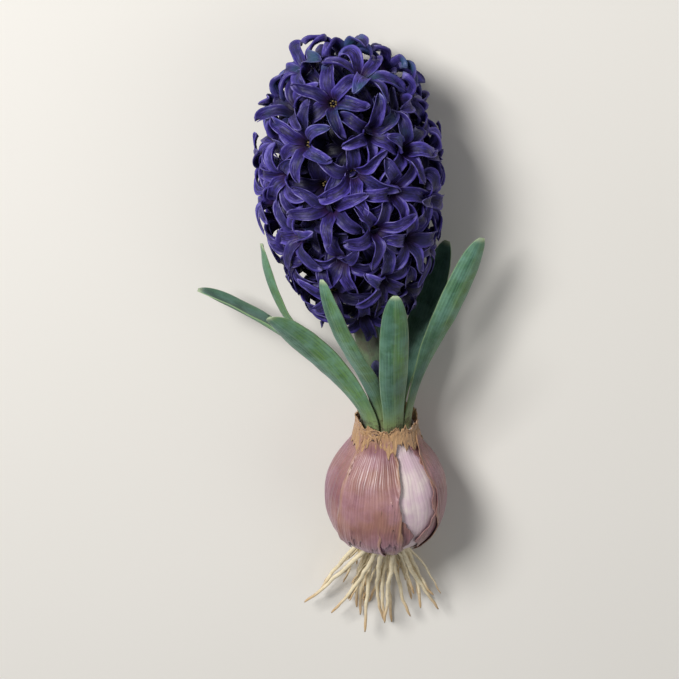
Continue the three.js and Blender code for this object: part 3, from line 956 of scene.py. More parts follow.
@dataclass(frozen=True)
class FleshFinish(Finish):
    """The firm scale under the tunic: cream with lilac veins."""

    name: str = "scale_cream"
    lilac: str = "cdb3bd"
    cream: str = "efe6d6"
    vein: str = "a37896"
    flush: str = "b98fae"

    def paint(self, p: Paint, effects: Effects) -> None:
        """Adds the scale's nodes.

        Args:
            p: Paints the material.
            effects: The shared node groups.
        """
        line, fine = effects.lines(p, p.mark("turn"), p.mark("along"), 40.0, 11.0)
        colour = p.blend(fine, tint(self.lilac), tint(self.cream))
        colour = p.over(colour, p.times(p.step(line, 0.0, 0.5, 1.0, 0.0), 0.4), self.vein)
        colour = effects.clouded(p, colour, self.flush, 60.0, 0.5)
        colour, _ = effects.stained(p, colour, 0.1, 140.0)
        p.finish(line, 0.35, 0.15, Base_Color=colour, Roughness=p.step(fine, 0.2, 0.8, 0.3, 0.45))


@dataclass(frozen=True)
class RootFinish(Finish):
    """Fleshy cream roots, amber towards their tips, with earth that clings to them."""

    name: str = "root_cream"
    dull: str = "cdb98d"
    cream: str = "f0e6cc"
    amber: str = "b98d55"

    def paint(self, p: Paint, effects: Effects) -> None:
        """Adds the root's nodes.

        Args:
            p: Paints the material.
            effects: The shared node groups.
        """
        colour = p.blend(p.noise(p.where(), 420.0, 4.0), tint(self.dull), tint(self.cream))
        colour = p.over(colour, p.step(p.mark("along"), 0.72, 1.0, 0.0, 0.7), self.amber)
        colour, earth = effects.stained(p, colour, 0.2, 230.0)
        grain = effects.grained(p, 2600.0)
        rough = p.plus(p.step(grain, 0.2, 0.9, 0.4, 0.55), p.times(earth, 0.3))
        p.finish(grain, 0.5, 0.12, Base_Color=colour, Roughness=rough)


@dataclass(frozen=True)
class PlateFinish(Finish):
    """The corky basal plate, brown with pale scars."""

    name: str = "plate_cork"
    brown: str = "5a4030"
    scar: str = "b59a76"

    def paint(self, p: Paint, effects: Effects) -> None:
        """Adds the plate's nodes.

        Args:
            p: Paints the material.
            effects: The shared node groups.
        """
        coarse = p.noise(p.where(), 520.0, 6.0, 0.7)
        colour = p.blend(p.step(coarse, 0.3, 0.7), tint(self.brown), tint(self.scar))
        colour, _ = effects.stained(p, colour, 0.3, 260.0)
        p.finish(coarse, 0.8, 0.6, Base_Color=colour, Roughness=p.step(coarse, 0.3, 0.7, 0.95, 0.7))


@dataclass(frozen=True)
class FloorFinish(Finish):
    """A plain pale floor."""

    name: str = "floor_pale"
    dull: str = "d9d5cd"
    pale: str = "dedad3"

    def paint(self, p: Paint, effects: Effects) -> None:
        """Adds the floor's nodes."""
        colour = p.blend(p.noise(p.where(), 3.0, 2.0), tint(self.dull), tint(self.pale))
        p.finish(None, 0.0, 0.0, Base_Color=colour, Roughness=0.85)


# ---------------------------------------------------------------- stem

class Spine:
    """The centre line of the stem, the same curve as in the solids."""

    knots = ((0, 0, 40), (0, 0, 62), (-5.5, 0, 92), (-12, 0, 122),
             (-15.5, 0, 155), (-17.5, 0, 190), (-20, 0, 230), (-21.5, 0, 262))

    def __init__(self) -> None:
        """Draws the line."""
        self.line = smooth_line(np.array(self.knots, float), 80)

    def at(self, height: float | Array) -> Array:
        """The stem's centre at a height, or at each of several."""
        h = np.clip(np.asarray(height, float), self.line[0, 2], self.line[-1, 2])
        return np.stack([np.interp(h, self.line[:, 2], self.line[:, j]) for j in range(3)], -1)


@dataclass
class Stem:
    """The bare flower stem between the bulb and the head."""

    low: float = 50.35
    high: float = 122.0
    radius: float = 6.2
    top_radius: float = 5.5
    ribs: int = 5
    rib_depth: float = 0.02
    unevenness: float = 0.012
    sides: int = 40
    steps: int = 48

    def build(self, spine: Spine, finish: bpy.types.Material) -> None:
        """Makes the stem, with shallow ribs and a slight unevenness.

        Args:
            spine: The stem's centre line.
            finish: The stem's finish.
        """
        t = np.linspace(0, 1, self.steps + 1)
        turns = ring_turns(self.sides)
        ribs = self.rib_depth * np.cos(self.ribs * turns)[None] * (1 - t[:, None])
        lobes = ribs + self.unevenness * ripple(31, 3 * turns[None], 9 * t[:, None])
        line = spine.at(mix(self.low, self.high, t))
        rings = rings_along(line, mix(self.radius, self.top_radius, t), self.sides, lobes)
        piece = Piece("flower_stem_skin", finish)
        piece.add(loft(LYING.down(rings)))
        piece.build("stem", "flower_stem")


@dataclass
class LowBud:
    """A small floret bud that stayed closed, on a short stalk at the front of the stem."""

    foot: Point = (-5.4, -5.0, 91.0)
    knee: Point = (-5.0, -9.4, 93.5)
    tip: Point = (-5.4, -12.4, 103.0)
    stalk_radius: float = 0.9
    radius: float = 2.3
    stalk_share: float = 0.3
    widest: float = 0.72
    rib_depth: float = 0.08
    steps: int = 40
    sides: int = 24

    def build(self, finish: bpy.types.Material) -> None:
        """Makes the bud: a stalk that swells into a blunt six-ribbed body.

        Args:
            finish: The bud's finish.
        """
        line, _ = even_line(smooth_line(np.array([self.foot, self.knee, self.tip]), 20), self.steps + 1)
        t = np.linspace(0, 1, self.steps + 1)
        blunt = self.radius * np.sqrt(np.clip(1 - ((t - self.widest) / 0.285) ** 2, 0.03, 1))
        swelling = mix(self.stalk_radius, self.radius, ease((t - self.stalk_share) / 0.42))
        radius = np.where(t > self.widest, blunt, swelling)
        ribs = self.rib_depth * ease((t - 0.4) / 0.2)[:, None] * np.cos(6 * ring_turns(self.sides))[None]
        piece = Piece("low_bud", finish)
        piece.add(loft(LYING.down(rings_along(line, radius, self.sides, ribs))))
        piece.build("petal")


# ---------------------------------------------------------------- leaves

@dataclass(frozen=True)
class Whorl:
    """A ring of leaves in the neck: how far from its middle they stand, and how wide their feet are."""

    radius: float
    foot_width: float


OUTER, INNER = Whorl(11.25, 10.2), Whorl(8.5, 8.6)


@dataclass(frozen=True)
class Leaf:
    """One leaf, drawn from the same values as its solid.

    It starts in the neck at a turn in degrees, rises through it, and bends to its tip, where it points
    along aim. Above the neck its back turns to face faces degrees.
    """

    name: str
    turn: float
    whorl: Whorl
    width: float
    faces: float
    tip: Point
    aim: Point
    rise: float
    pull: float


LEAVES = (
    Leaf("leaf_left_low", 170, OUTER, 15.5, 180, (-90, 6, 131), (-0.93, 0.02, 0.36), 20, 40),
    Leaf("leaf_left_front", 226.5, OUTER, 16.5, 244, (-55, -32, 134), (-0.66, -0.4, 0.62), 12, 32),
    Leaf("leaf_left_high", 196, INNER, 12.5, 200, (-59, -17, 165), (-0.08, -0.06, 0.99), 25, 56),
    Leaf("leaf_front_left", 254, INNER, 11, 236, (-31, -46, 160), (-0.22, -0.02, 0.97), 30, 48),
    Leaf("leaf_back", 96, OUTER, 15, 88, (3, 31, 121), (0.1, 0.35, 0.93), 16, 20),
    Leaf("leaf_front", 289, OUTER, 14, 274, (3, -42, 150), (0.02, -0.1, 0.98), 18, 42),
    Leaf("leaf_right_back", 40, INNER, 14, 62, (29, 20, 151), (0.25, 0.15, 0.95), 26, 40),
    Leaf("leaf_right", 344, OUTER, 15.5, 302, (44, -6, 163), (0.34, -0.05, 0.94), 22, 46),
)


@dataclass
class Foliage:
    """The eight leaves, each a fleshy channelled blade with a hooded tip."""

    thickness: float = 2.0
    edge: float = 0.55
    foot: float = 50.35
    neck: float = 64.0
    keel: float = 0.3
    hood: float = 1.1
    wave: float = 0.45
    lie: float = 0.25
    steps: int = 84
    columns: int = 22

    def centre(self, leaf: Leaf) -> tuple[Array, Array]:
        """The leaf's centre line: straight up through the neck, then one curve to the tip.

        Args:
            leaf: The leaf.

        Returns:
            The points of the line, and its unit directions.
        """
        turn = math.radians(leaf.turn)
        foot = np.array([leaf.whorl.radius * math.cos(turn), leaf.whorl.radius * math.sin(turn), self.foot])
        neck = np.array([foot[0], foot[1], self.neck])
        tip = np.array(leaf.tip, float)
        before = tip - unit(np.array(leaf.aim)) * leaf.pull
        after = neck + np.array([0, 0, leaf.rise])
        w = np.linspace(0, 1, 400)[:, None]
        curve = (1 - w) ** 3 * neck + 3 * (1 - w) ** 2 * w * after + 3 * (1 - w) * w**2 * before + w**3 * tip
        return even_line(np.vstack([foot, curve]), self.steps + 1)

    def width(self, leaf: Leaf, t: Array) -> Array:
        """How wide the leaf is along its length: a clasping foot and a blunt tip.

        Args:
            leaf: The leaf.
            t: Shares of its length.

        Returns:
            The width at each.
        """
        body = mix(leaf.whorl.foot_width / leaf.width, 1, ease((t - 0.13) / 0.4))
        tip = np.sqrt(np.maximum(0.004, 1 - (np.maximum(t - 0.72, 0) / 0.285) ** 2.4))
        return leaf.width * body * tip

    def surface(self, leaf: Leaf, number: int) -> tuple[Array, Array]:
        """The channelled, slightly waved blade of a leaf.

        Args:
            leaf: The leaf.
            number: Its number, which picks its waves.

        Returns:
            The middle of the blade as a grid, and half its thickness at each point.
        """
        line, along = self.centre(leaf)
        t = np.linspace(0, 1, self.steps + 1)
        facing = math.radians(leaf.turn) + math.radians(leaf.faces - leaf.turn) * ease((t - 0.2) / 0.5)
        outward = np.stack([np.cos(facing), np.sin(facing), 0 * t], -1)
        across = unit(np.cross(outward, along))
        away = unit(np.cross(along, across))
        width = self.width(leaf, t)
        own = leaf.whorl.foot_width / (2 * leaf.whorl.radius)
        cup = mix(own, 0.52, ease(t / 0.5)) + 0.3 * ease((t - 0.75) / 0.25)
        curve = width / (2 * cup)
        s = np.linspace(-1, 1, self.columns + 1)
        a = s[None] * cup[:, None]
        free = ease((t - 0.25) / 0.3)[:, None]
        waves = ripple(number + 40, 11 * t[:, None] + 0 * s, 1.2 * s[None])
        wave = self.wave * free * np.abs(s[None]) ** 3 * waves
        hood = self.hood * ease((t - 0.9) / 0.1)[:, None] * (1 - s[None] ** 2)
        out = (curve[:, None] * (np.cos(a) - 1) + wave - hood)[..., None]
        aside = (curve[:, None] * np.sin(a))[..., None]
        middle = line[:, None] + away[:, None] * out + across[:, None] * aside
        thinning = mix(1, 0.55, ease((t - 0.6) / 0.4))[:, None]
        half = mix(self.thickness, self.edge, np.abs(s) ** 2.2)[None] / 2 * thinning
        half = half * np.where(t > 0.985, 0.6, 1.0)[:, None]
        keel = self.keel * np.exp(-((s / 0.16) ** 2))[None] * (1 - t[:, None])
        return middle, half + keel * 0.5

    def build(self, finish: bpy.types.Material) -> None:
        """Makes all leaves.

        Args:
            finish: The leaves' finish.
        """
        for number, leaf in enumerate(LEAVES):
            middle, half = self.surface(leaf, number)
            lying = LYING.press(LYING.down(middle), half + self.lie)
            piece = Piece(leaf.name + "_blade", finish)
            piece.add(blade(lying, half).marked(tone=scatter(number, Trait.LEAF_TONE)))
            piece.build("leaf", leaf.name)


# ---------------------------------------------------------------- flower head

@dataclass
class Skin:
    """The skin of the head: an egg round the stem's line, narrower in its lower half."""

    spine: Spine
    radius: float = 40.5
    bottom: float = 109.0
    top: float = 254.0
    square: float = 0.94
    taper: float = 0.3
    lowest_deg: float = -58.0
    held: float = 0.85
    loose: float = 5.5
    looser: float = 8.0

    @property
    def middle(self) -> float:
        """The height of the head's middle."""
        return (self.bottom + self.top) / 2

    @property
    def half(self) -> float:
        """Half the head's height."""
        return (self.top - self.bottom) / 2

    def narrowed(self, rise: float | Array) -> float | Array:
        """How wide the skin is against an even ellipsoid, at a share of its half height."""
        return 1 - self.taper * np.maximum(0, -rise) ** 1.2

    def point(self, latitude: float, turn: float, inset: float) -> Array:
        """A point on the skin, or on a smaller skin inside it.

        Args:
            latitude: Its latitude in radians.
            turn: Its turn round the stem in radians.
            inset: How far inside the skin it is.

        Returns:
            The point.
        """
        rise = math.copysign(abs(math.sin(latitude)) ** self.square, latitude)
        out = (self.radius - inset) * math.cos(latitude) ** self.square * self.narrowed(rise)
        height = self.middle + (self.half - inset) * rise
        return self.spine.at(height) + np.array([out * math.cos(turn), out * math.sin(turn), 0])

    def draw_in(self, points: Array) -> Array:
        """Brings petals back to the skin where the leaves hold the head in, below its middle.

        Args:
            points: Points of petals.

        Returns:
            The points, those outside the skin drawn in towards the stem.
        """
        fall = np.clip((self.middle - points[..., 2]) / self.half, 0, self.held)
        even = self.radius * np.cos(np.arcsin(fall ** (1 / self.square))) ** self.square
        reach = even * self.narrowed(-fall) - 0.5
        loose = mix(self.looser, self.loose, ease(fall / 0.4))
        stem = self.spine.at(points[..., 2])
        flat = points[..., :2] - stem[..., :2]
        far = np.maximum(np.linalg.norm(flat, axis=-1), 1e-6)
        held = np.where(far > reach, reach + loose * (1 - np.exp((reach - far) / loose)), far)
        drawn = points.copy()
        drawn[..., :2] = stem[..., :2] + flat * (held / far)[..., None]
        return drawn

    def latitudes(self, count: int) -> list[float]:
        """Latitudes that share out the skin between florets, so that each has the same room.

        Args:
            count: How many florets there are.

        Returns:
            The latitude of each, in radians, from the lowest.
        """
        slices = 400
        lowest = np.radians(self.lowest_deg)
        rim = lowest + (math.pi / 2 - lowest) * np.arange(slices + 1) / slices
        rise = np.sign(np.sin(rim)) * np.abs(np.sin(rim)) ** self.square
        r = self.radius * np.maximum(np.cos(rim), 0) ** self.square * self.narrowed(rise)
        z = self.half * rise
        areas = np.concatenate([[0], np.cumsum((r[1:] + r[:-1]) / 2 * np.hypot(np.diff(r), np.diff(z)))])
        return [float(rim[int(np.argmax(areas >= (i + 0.5) / count * areas[-1]))]) for i in range(count)]


@dataclass(frozen=True)
class FloretLayer:
    """One layer of florets over the head, and how freely they are placed in it.

    A mouth lies inset millimetres inside the skin. Its turn is a golden angle for each floret before it and
    half_step more, from turn on. A root is drawn towards the height of the head's middle by the share level,
    and stays room above the foot of the stem inside the head. Each lean is a width, and the three traits
    that change the way a floret faces by up to that width. A petal of the layer is at least depth deep, the
    least share of painted shade that darkens its petals and tubes.
    """

    name: str
    count: int
    first: int
    inset: float
    inset_spread: float
    turn: float
    half_step: float
    turn_spread: float
    latitude_share: float
    level: float
    room: float
    leans: tuple[tuple[float, tuple[int, int, int]], ...]
    size: float = 1.0
    depth: float = 0.0


OUTER_FLORETS = FloretLayer(
    "floret", count=54, first=0, inset=5.4, inset_spread=1.8, turn=0.0, half_step=0.0, turn_spread=0.09,
    latitude_share=1.0, level=0.25, room=8, leans=((0.14, FACING_TRAITS), (0.2, LEAN_TRAITS)))
# The inner layer's depth of 0.7 darkens its petals and tubes with painted shade.
INNER_FLORETS = FloretLayer(
    "inner_floret", count=44, first=200, inset=13.0, inset_spread=2.0, turn=1.1, half_step=0.5,
    turn_spread=0.2, latitude_share=0.94, level=0.2, room=6, leans=((0.3, FACING_TRAITS),), size=0.84,
    depth=0.7)


@dataclass
class Floret:
    """One floret: where it leaves the stem, its mouth, the way it faces, and how its petals are turned."""

    name: str
    number: int
    root: Array
    mouth: Array
    facing: Array
    turn: float
    open: float
    size: float
    # depth is the least share of painted shade on the floret's petals and tube
    depth: float

    def sides(self) -> tuple[Array, Array]:
        """The two directions across the floret that its petals are laid out on.

        Returns:
            Two unit directions, square to each other and to the way the floret faces.
        """
        start = np.array([1.0, 0, 0]) if abs(self.facing[2]) > 0.9 else np.array([0, 0, 1.0])
        a = unit(np.cross(start, self.facing))
        return a, unit(np.cross(self.facing, a))

    def outward(self, turn: float) -> Array:
        """The direction across the floret at a turn."""
        a, b = self.sides()
        return a * math.cos(turn) + b * math.sin(turn)


@dataclass
class Petal:
    """One petal: its floret, its frame, and how it bends, sways and twists."""

    floret: Floret
    seed: int
    out: Array
    across: Array
    length: float
    last: float
    first: float
    curl: float
    sway: float
    twist: float
    width: float

    def frame(self, t: Array, slope: Array) -> tuple[Array, Array]:
        """The petal's own directions along its length.

        Args:
            t: Shares of its length.
            slope: How far it has bent at each.

        Returns:
            The directions across the petal, and out of its front.
        """
        twist = (self.twist * np.maximum(t, 0) ** 1.5)[:, None]
        front = self.floret.facing * np.sin(slope)[:, None] - self.out * np.cos(slope)[:, None]
        over = self.across * np.cos(twist) + front * np.sin(twist)
        return over, front * np.cos(twist) - self.across * np.sin(twist)


@dataclass
class FlowerHead:
    """The head: its florets, each a tube with six petals and six anthers, round the upper stem."""

    skin: Skin
    layers: tuple[FloretLayer, ...] = (OUTER_FLORETS, INNER_FLORETS)
    rachis_low: float = 118.5
    rachis_high: float = 232.0
    rachis_radius: float = 6.0
    rachis_tip: float = 2.6
    throat: float = 3.0
    length: float = 18.5
    petals: int = 6
    petal_width: float = 7.0
    first_bend: float = 26.0
    last_bend: float = 152.0
    tip_curl: float = 18.0
    channel: float = 0.8
    edge_curl: float = 6.0
    edge_wave: float = 0.38
    middle_thickness: float = 0.84
    edge_thickness: float = 0.32
    rows: int = 20
    columns: int = 12
    low_end: float = -0.13
    probe_share: float = 0.62
    apart: float = 2.5
    most_shift: float = 3.2
    rounds: int = 14
    tube_sides: int = 24
    anther_radius: float = 0.55
    anther_sides: int = 8
    rachis_sides: int = 24
    rachis_steps: int = 60

    def place(self, layer: FloretLayer) -> list[Floret]:
        """Lays out one layer of florets, the outer one as the solids have it.

        Args:
            layer: The layer.

        Returns:
            Its florets, from the lowest.
        """
        made = []
        for n, latitude in enumerate(self.skin.latitudes(layer.count)):
            i = layer.first + n
            turn = (n + layer.half_step) * GOLDEN_ANGLE + layer.turn
            turn += spread(i, Trait.FLORET_TURN, layer.turn_spread)
            inset = layer.inset + spread(i, Trait.FLORET_INSET, layer.inset_spread)
            mouth = self.skin.point(latitude * layer.latitude_share, turn, inset)
            height = mix(mouth[2], self.skin.middle, layer.level) + spread(i, Trait.FLORET_HEIGHT, 3)
            root = self.skin.spine.at(min(self.rachis_high - 2, max(self.rachis_low + layer.room, height)))
            facing = mouth - root
            for width, traits in layer.leans:
                facing = unit(facing) + np.array([spread(i, trait, width) for trait in traits])
            made.append(Floret(f"{layer.name}_{n + 1:02d}", i, root, mouth, unit(facing),
                               scatter(i, Trait.FLORET_SPIN) * math.pi / 3, spread(i, Trait.FLORET_OPEN, 1),
                               layer.size, layer.depth))
        return made

    def petals_of(self, floret: Floret) -> list[Petal]:
        """The floret's six petals, three inner ones between three outer ones.

        Args:
            floret: The floret.

        Returns:
            The petals.
        """
        made = []
        for k in range(self.petals):
            seed = floret.number * self.petals + k
            turn = floret.turn + FULL_TURN * k / self.petals + spread(seed, Trait.PETAL_TURN, 0.1)
            out = floret.outward(turn)
            inner = k % 2 == 1
            last = self.last_bend + 14 * floret.open + (9 if inner else -5)
            last += spread(seed, Trait.PETAL_BEND, 16)
            last += self.tip_curl + spread(seed, Trait.PETAL_TIP, 38)
            first = self.first_bend + spread(floret.number, Trait.FLORET_BEND, 8)
            first = math.radians(first + spread(seed, Trait.PETAL_FIRST_BEND, 14))
            width = self.petal_width * (1.06 if inner else 0.92)
            made.append(Petal(
                floret, seed, out, unit(np.cross(floret.facing, out)),
                length=self.length * floret.size * (1 + spread(seed, Trait.PETAL_LENGTH, 0.07)),
                last=math.radians(last), first=first, curl=mix(0.9, 1.9, scatter(seed, Trait.PETAL_CURL)),
                sway=spread(seed, Trait.PETAL_SWAY, 0.2), twist=spread(seed, Trait.PETAL_TWIST, 1.0),
                width=width * (1 + spread(seed, Trait.PETAL_WIDTH, 0.08))))
        return made

    def line(self, petal: Petal, t: Array) -> tuple[Array, Array]:
        """The petal's centre line. Below t = 0 it runs down the tube.

        Args:
            petal: The petal.
            t: Shares of its length.

        Returns:
            The points of the line, and how far the petal has bent at each.
        """
        free, sunk = np.maximum(t, 0), np.minimum(t, 0)
        slope = mix(petal.first, petal.last, free**petal.curl)
        fine = np.linspace(0, 1, 101)
        bend = mix(petal.first, petal.last, fine**petal.curl)
        rise, run = (np.concatenate([[0], np.cumsum((way[1:] + way[:-1]) / 200)]) * petal.length
                     for way in (np.cos(bend), np.sin(bend)))
        up = np.interp(free, fine, rise) + sunk * petal.length
        out = np.interp(free, fine, run) + self.throat - 0.4 + sunk * 1.2
        aside = petal.length * petal.sway * 0.667 * free**2
        slope = np.where(t < 0, slope * np.exp(t * 12), slope)
        f = petal.floret
        line = f.mouth + f.facing * up[:, None] + petal.out * out[:, None] + petal.across * aside[:, None]
        return line, slope

    def settle(self, petals: list[Petal]) -> Array:
        """Moves petals of different florets apart where they would cut through each other.

        Args:
            petals: All petals.

        Returns:
            How far each petal moves at each of its stations.
        """
        stations = self.stations
        sides = np.array([-self.probe_share, 0.0, self.probe_share])
        lines, wide = [], []
        for petal in petals:
            centre, slope = self.line(petal, stations)
            over, _ = petal.frame(stations, slope)
            lines.append(centre)
            wide.append(over * petal.width / 2)
        lines, wide = np.array(lines), np.array(wide)
        shift = np.zeros_like(lines)
        owner = np.repeat([p.floret.number for p in petals], len(stations) * len(sides))
        hold = ease(stations / 0.5)[None, :, None]
        for _ in range(self.rounds):
            nodes = (lines + shift)[:, :, None] + wide[:, :, None] * sides[None, None, :, None]
            flat = LYING.press(LYING.down(nodes.reshape(-1, 3)), 0.6)
            tree = kdtree.KDTree(len(flat))
            for i, p in enumerate(flat):
                tree.insert(p, i)
            tree.balance()
            push = np.zeros_like(flat)
            for i, p in enumerate(flat):
                for place, j, gap in tree.find_range(p, self.apart):
                    if owner[j] != owner[i] and gap > 1e-6:
                        push[i] += (p - np.array(place)) / gap * (self.apart - gap)
            push = (push @ LYING.turned()).reshape(len(petals), len(stations), len(sides), 3).mean(2)
            push = (np.roll(push, 1, 1) + 2 * push + np.roll(push, -1, 1)) / 4
            shift += 0.5 * push * hold
            size = np.linalg.norm(shift, axis=-1, keepdims=True)
            shift *= np.minimum(1, self.most_shift / np.maximum(size, 1e-6))
        return shift

    @property
    def stations(self) -> Array:
        """Where along a petal its shift is worked out."""
        return np.linspace(0.15, 1.0, 7)

    def shape(self, petal: Petal, t: Array, s: Array) -> tuple[Array, Array]:
        """How a petal's blade is laid out across its centre line.

        Args:
            petal: The petal.
            t: Shares of its length.
            s: Places across it, from -1 to 1.

        Returns:
            How far each point of the blade is aside from the line, and how far in front of it.
        """
        body = mix(0.54, 1.0, ease((t + 0.02) / 0.32))
        tip = (1 - np.clip((t - 0.5) / 0.505, 0, 1) ** 2.9) ** 0.6
        width = petal.width * body * np.maximum(tip, 0.05)
        roll = (mix(0.35, 1.0, scatter(petal.seed, Trait.PETAL_ROLL)) * ease((t - 0.05) / 0.4))[:, None]
        side = np.abs(s)[None]
        hollow = self.channel * mix(0.5, 1.7, scatter(petal.seed, Trait.PETAL_HOLLOW))
        waves = ripple(petal.seed + 900, 7 * t[:, None] + 0 * s, 2.4 * s[None])
        flare = mix(0.6, 1.8, scatter(petal.seed, Trait.PETAL_FLARE)) * ease((t - 0.72) / 0.28)[:, None]
        lift = (hollow * s[None] ** 2 + self.edge_curl * roll * np.maximum(side - 0.6, 0) ** 1.7
                + self.edge_wave * waves * ease(t / 0.5)[:, None] + flare * s[None] ** 2)
        pinch = 1 - 0.16 * roll * np.maximum(side - 0.62, 0) * 2.2
        snake = 0.35 * np.sin(9 * t + 6 * scatter(petal.seed, Trait.PETAL_SNAKE)) * ease(t / 0.4)
        return width[:, None] / 2 * s[None] * pinch + snake[:, None], lift

    def painted_shade_depth(self, points: Array, least: float) -> Array:
        """How deep in the head points of a petal are, for the painted shade that darkens them.

        Args:
            points: The points.
            least: The least that the floret's layer has.

        Returns:
            0 at the skin to 1 near the stem.
        """
        stem = self.skin.spine.at(points[..., 2])
        reach = np.linalg.norm(points[..., :2] - stem[..., :2], axis=-1) / self.skin.radius
        above = np.abs(points[..., 2] - self.skin.middle) / self.skin.half
        deep = (1 - ease((reach - 0.58) / 0.38)) * (1 - ease((above - 0.55) / 0.3))
        return np.maximum(deep, least)

    def petal_patch(self, petal: Petal, shift: Array) -> Patch:
        """The petal's blade: channelled, with curled edges, a keel behind and a hooded tip.

        Args:
            petal: The petal.
            shift: How far it moves at each station.

        Returns:
            The patch.
        """
        t = mix(self.low_end, 1.0, np.linspace(0, 1, self.rows + 1) ** 0.92)
        s = np.linspace(-1, 1, self.columns + 1)
        s = np.sign(s) * np.abs(s) ** 0.82
        centre, slope = self.line(petal, t)
        at = np.concatenate([[0], self.stations])
        moved = np.stack([np.interp(t, at, np.concatenate([[0], shift[:, j]])) for j in range(3)], -1)
        over, front = petal.frame(t, slope)
        aside, lift = self.shape(petal, t, s)
        middle = (centre + moved)[:, None] + over[:, None] * aside[..., None]
        middle = middle + front[:, None] * lift[..., None]
        keel = 0.12 * np.exp(-((s / 0.14) ** 2))[None]
        half = mix(self.middle_thickness / 2, self.edge_thickness / 2, np.abs(s) ** 1.4)[None] + keel
        half = half * mix(1, 0.6, ease(t))[:, None]
        lying = LYING.press(LYING.down(self.skin.draw_in(middle)), half + 0.12)
        # the depth mark carries painted shade: the deeper a petal lies in the head, the darker it is painted
        depth = self.painted_shade_depth(middle, petal.floret.depth)
        return blade(lying, half).marked(tone=scatter(petal.seed, Trait.PETAL_TONE),
                                         depth=np.tile(depth.ravel(), 2))

    def tube_patch(self, floret: Floret) -> Patch:
        """The floret's stalk, ovary and six-lobed tube, with the inside of its throat.

        Args:
            floret: The floret.

        Returns:
            The patch.
        """
        length = float(np.linalg.norm(floret.mouth - floret.root))
        short = min(1.0, (length - 3) / 25)
        stalk = [(length, 2.0), (length - 1.5 * short, 1.7), (25 * short, 1.7)]
        ovary = [(back * short, r) for back, r in ((23, 2.5), (20.5, 3.7), (17, 4.2), (13, 3.9), (9, 3.4))]
        mouth = [(5.5 * short, 3.0), (2.6, 2.95), (0.9, 3.2), (-0.1, 3.45)]
        inside = [(0.2, 2.75), (1.6, 2.45), (4, 2.25), (6.5, 2.0), (8, 1.2)]
        w = np.array([[1 - back / length, r] for back, r in stalk + ovary + mouth + inside])
        u = w[:, :1]
        start, end = unit(floret.mouth - floret.root) * length, floret.facing * length
        line = ((2 * u**3 - 3 * u**2 + 1) * floret.root + (u**3 - 2 * u**2 + u) * start
                + (3 * u**2 - 2 * u**3) * floret.mouth + (u**3 - u**2) * end)
        one, two = floret.sides()
        turns = floret.turn + ring_turns(self.tube_sides)
        lobe = 0.07 * ease((u - 0.6) / 0.4) * np.cos(self.petals * (turns - floret.turn))[None]
        radius = w[:, 1:] * (1 + lobe)
        way = np.cos(turns)[:, None] * one + np.sin(turns)[:, None] * two
        rings = line[:, None] + radius[..., None] * way[None]
        # depth is the floret layer's share of painted shade on the tube
        return loft(LYING.press(LYING.down(rings), 0.5)).marked(depth=floret.depth)

    def anther_patch(self, floret: Floret, k: int) -> Patch:
        """One anther, standing against the wall of the throat.

        Args:
            floret: The floret.
            k: Which of its anthers it is.

        Returns:
            The patch.
        """
        turn = floret.turn + FULL_TURN * k / self.petals
        out = floret.outward(turn + spread(floret.number * self.petals + k, Trait.ANTHER_TURN, 0.15))
        t = np.linspace(0, 1, 7)
        line = floret.mouth + floret.facing * mix(-4.4, -0.9, t)[:, None] + out * mix(1.6, 1.2, t)[:, None]
        radius = self.anther_radius * np.sqrt(np.maximum(0.02, 1 - (2 * t - 1) ** 2))
        lobes = 0.18 * np.cos(2 * ring_turns(self.anther_sides))[None]
        rings = rings_along(line, radius, self.anther_sides, lobes)
        return loft(LYING.press(LYING.down(rings), 0.4))

    def rachis(self) -> Patch:
        """The stem inside the head.

        Returns:
            The patch.
        """
        t = np.linspace(0, 1, self.rachis_steps)
        lobes = 0.06 * ripple(77, 4 * ring_turns(self.rachis_sides)[None], 40 * t[:, None])
        line = self.skin.spine.at(mix(self.rachis_low, self.rachis_high + 3, t))
        rings = rings_along(line, mix(self.rachis_radius, self.rachis_tip, t), self.rachis_sides, lobes)
        return loft(LYING.down(rings)).marked(along=1.0)

    def build(self, petal_finish: bpy.types.Material, tube_finish: bpy.types.Material,
              anther_finish: bpy.types.Material, stem_finish: bpy.types.Material) -> None:
        """Makes the florets and the stem inside them.

        Args:
            petal_finish: The petals' finish.
            tube_finish: The tubes' finish.
            anther_finish: The anthers' finish.
            stem_finish: The stem's finish.
        """
        florets = [floret for layer in self.layers for floret in self.place(layer)]
        petals = [petal for floret in florets for petal in self.petals_of(floret)]
        shifts = self.settle(petals)
        for floret in florets:
            piece = Piece(floret.name, petal_finish, tube_finish, anther_finish)
            for petal, shift in zip(petals, shifts):
                if petal.floret is floret:
                    piece.add(self.petal_patch(petal, shift))
            piece.add(self.tube_patch(floret), 1)
            for k in range(self.petals):
                piece.add(self.anther_patch(floret, k), 2)
            piece.build("petal", "flower_head")
        piece = Piece("head_stem", stem_finish)
        piece.add(self.rachis())
        piece.build("stem", "flower_head")


# ---------------------------------------------------------------- bulb

@dataclass(frozen=True)
class TunicScale:
    """One papery scale of the tunic, between two turns and two shares of the bulb's outline."""

    name: str
    centre_deg: float
    half_deg: float
    low: float
    high: float
    lift: float
    curl: float
    dry: float
    torn: float


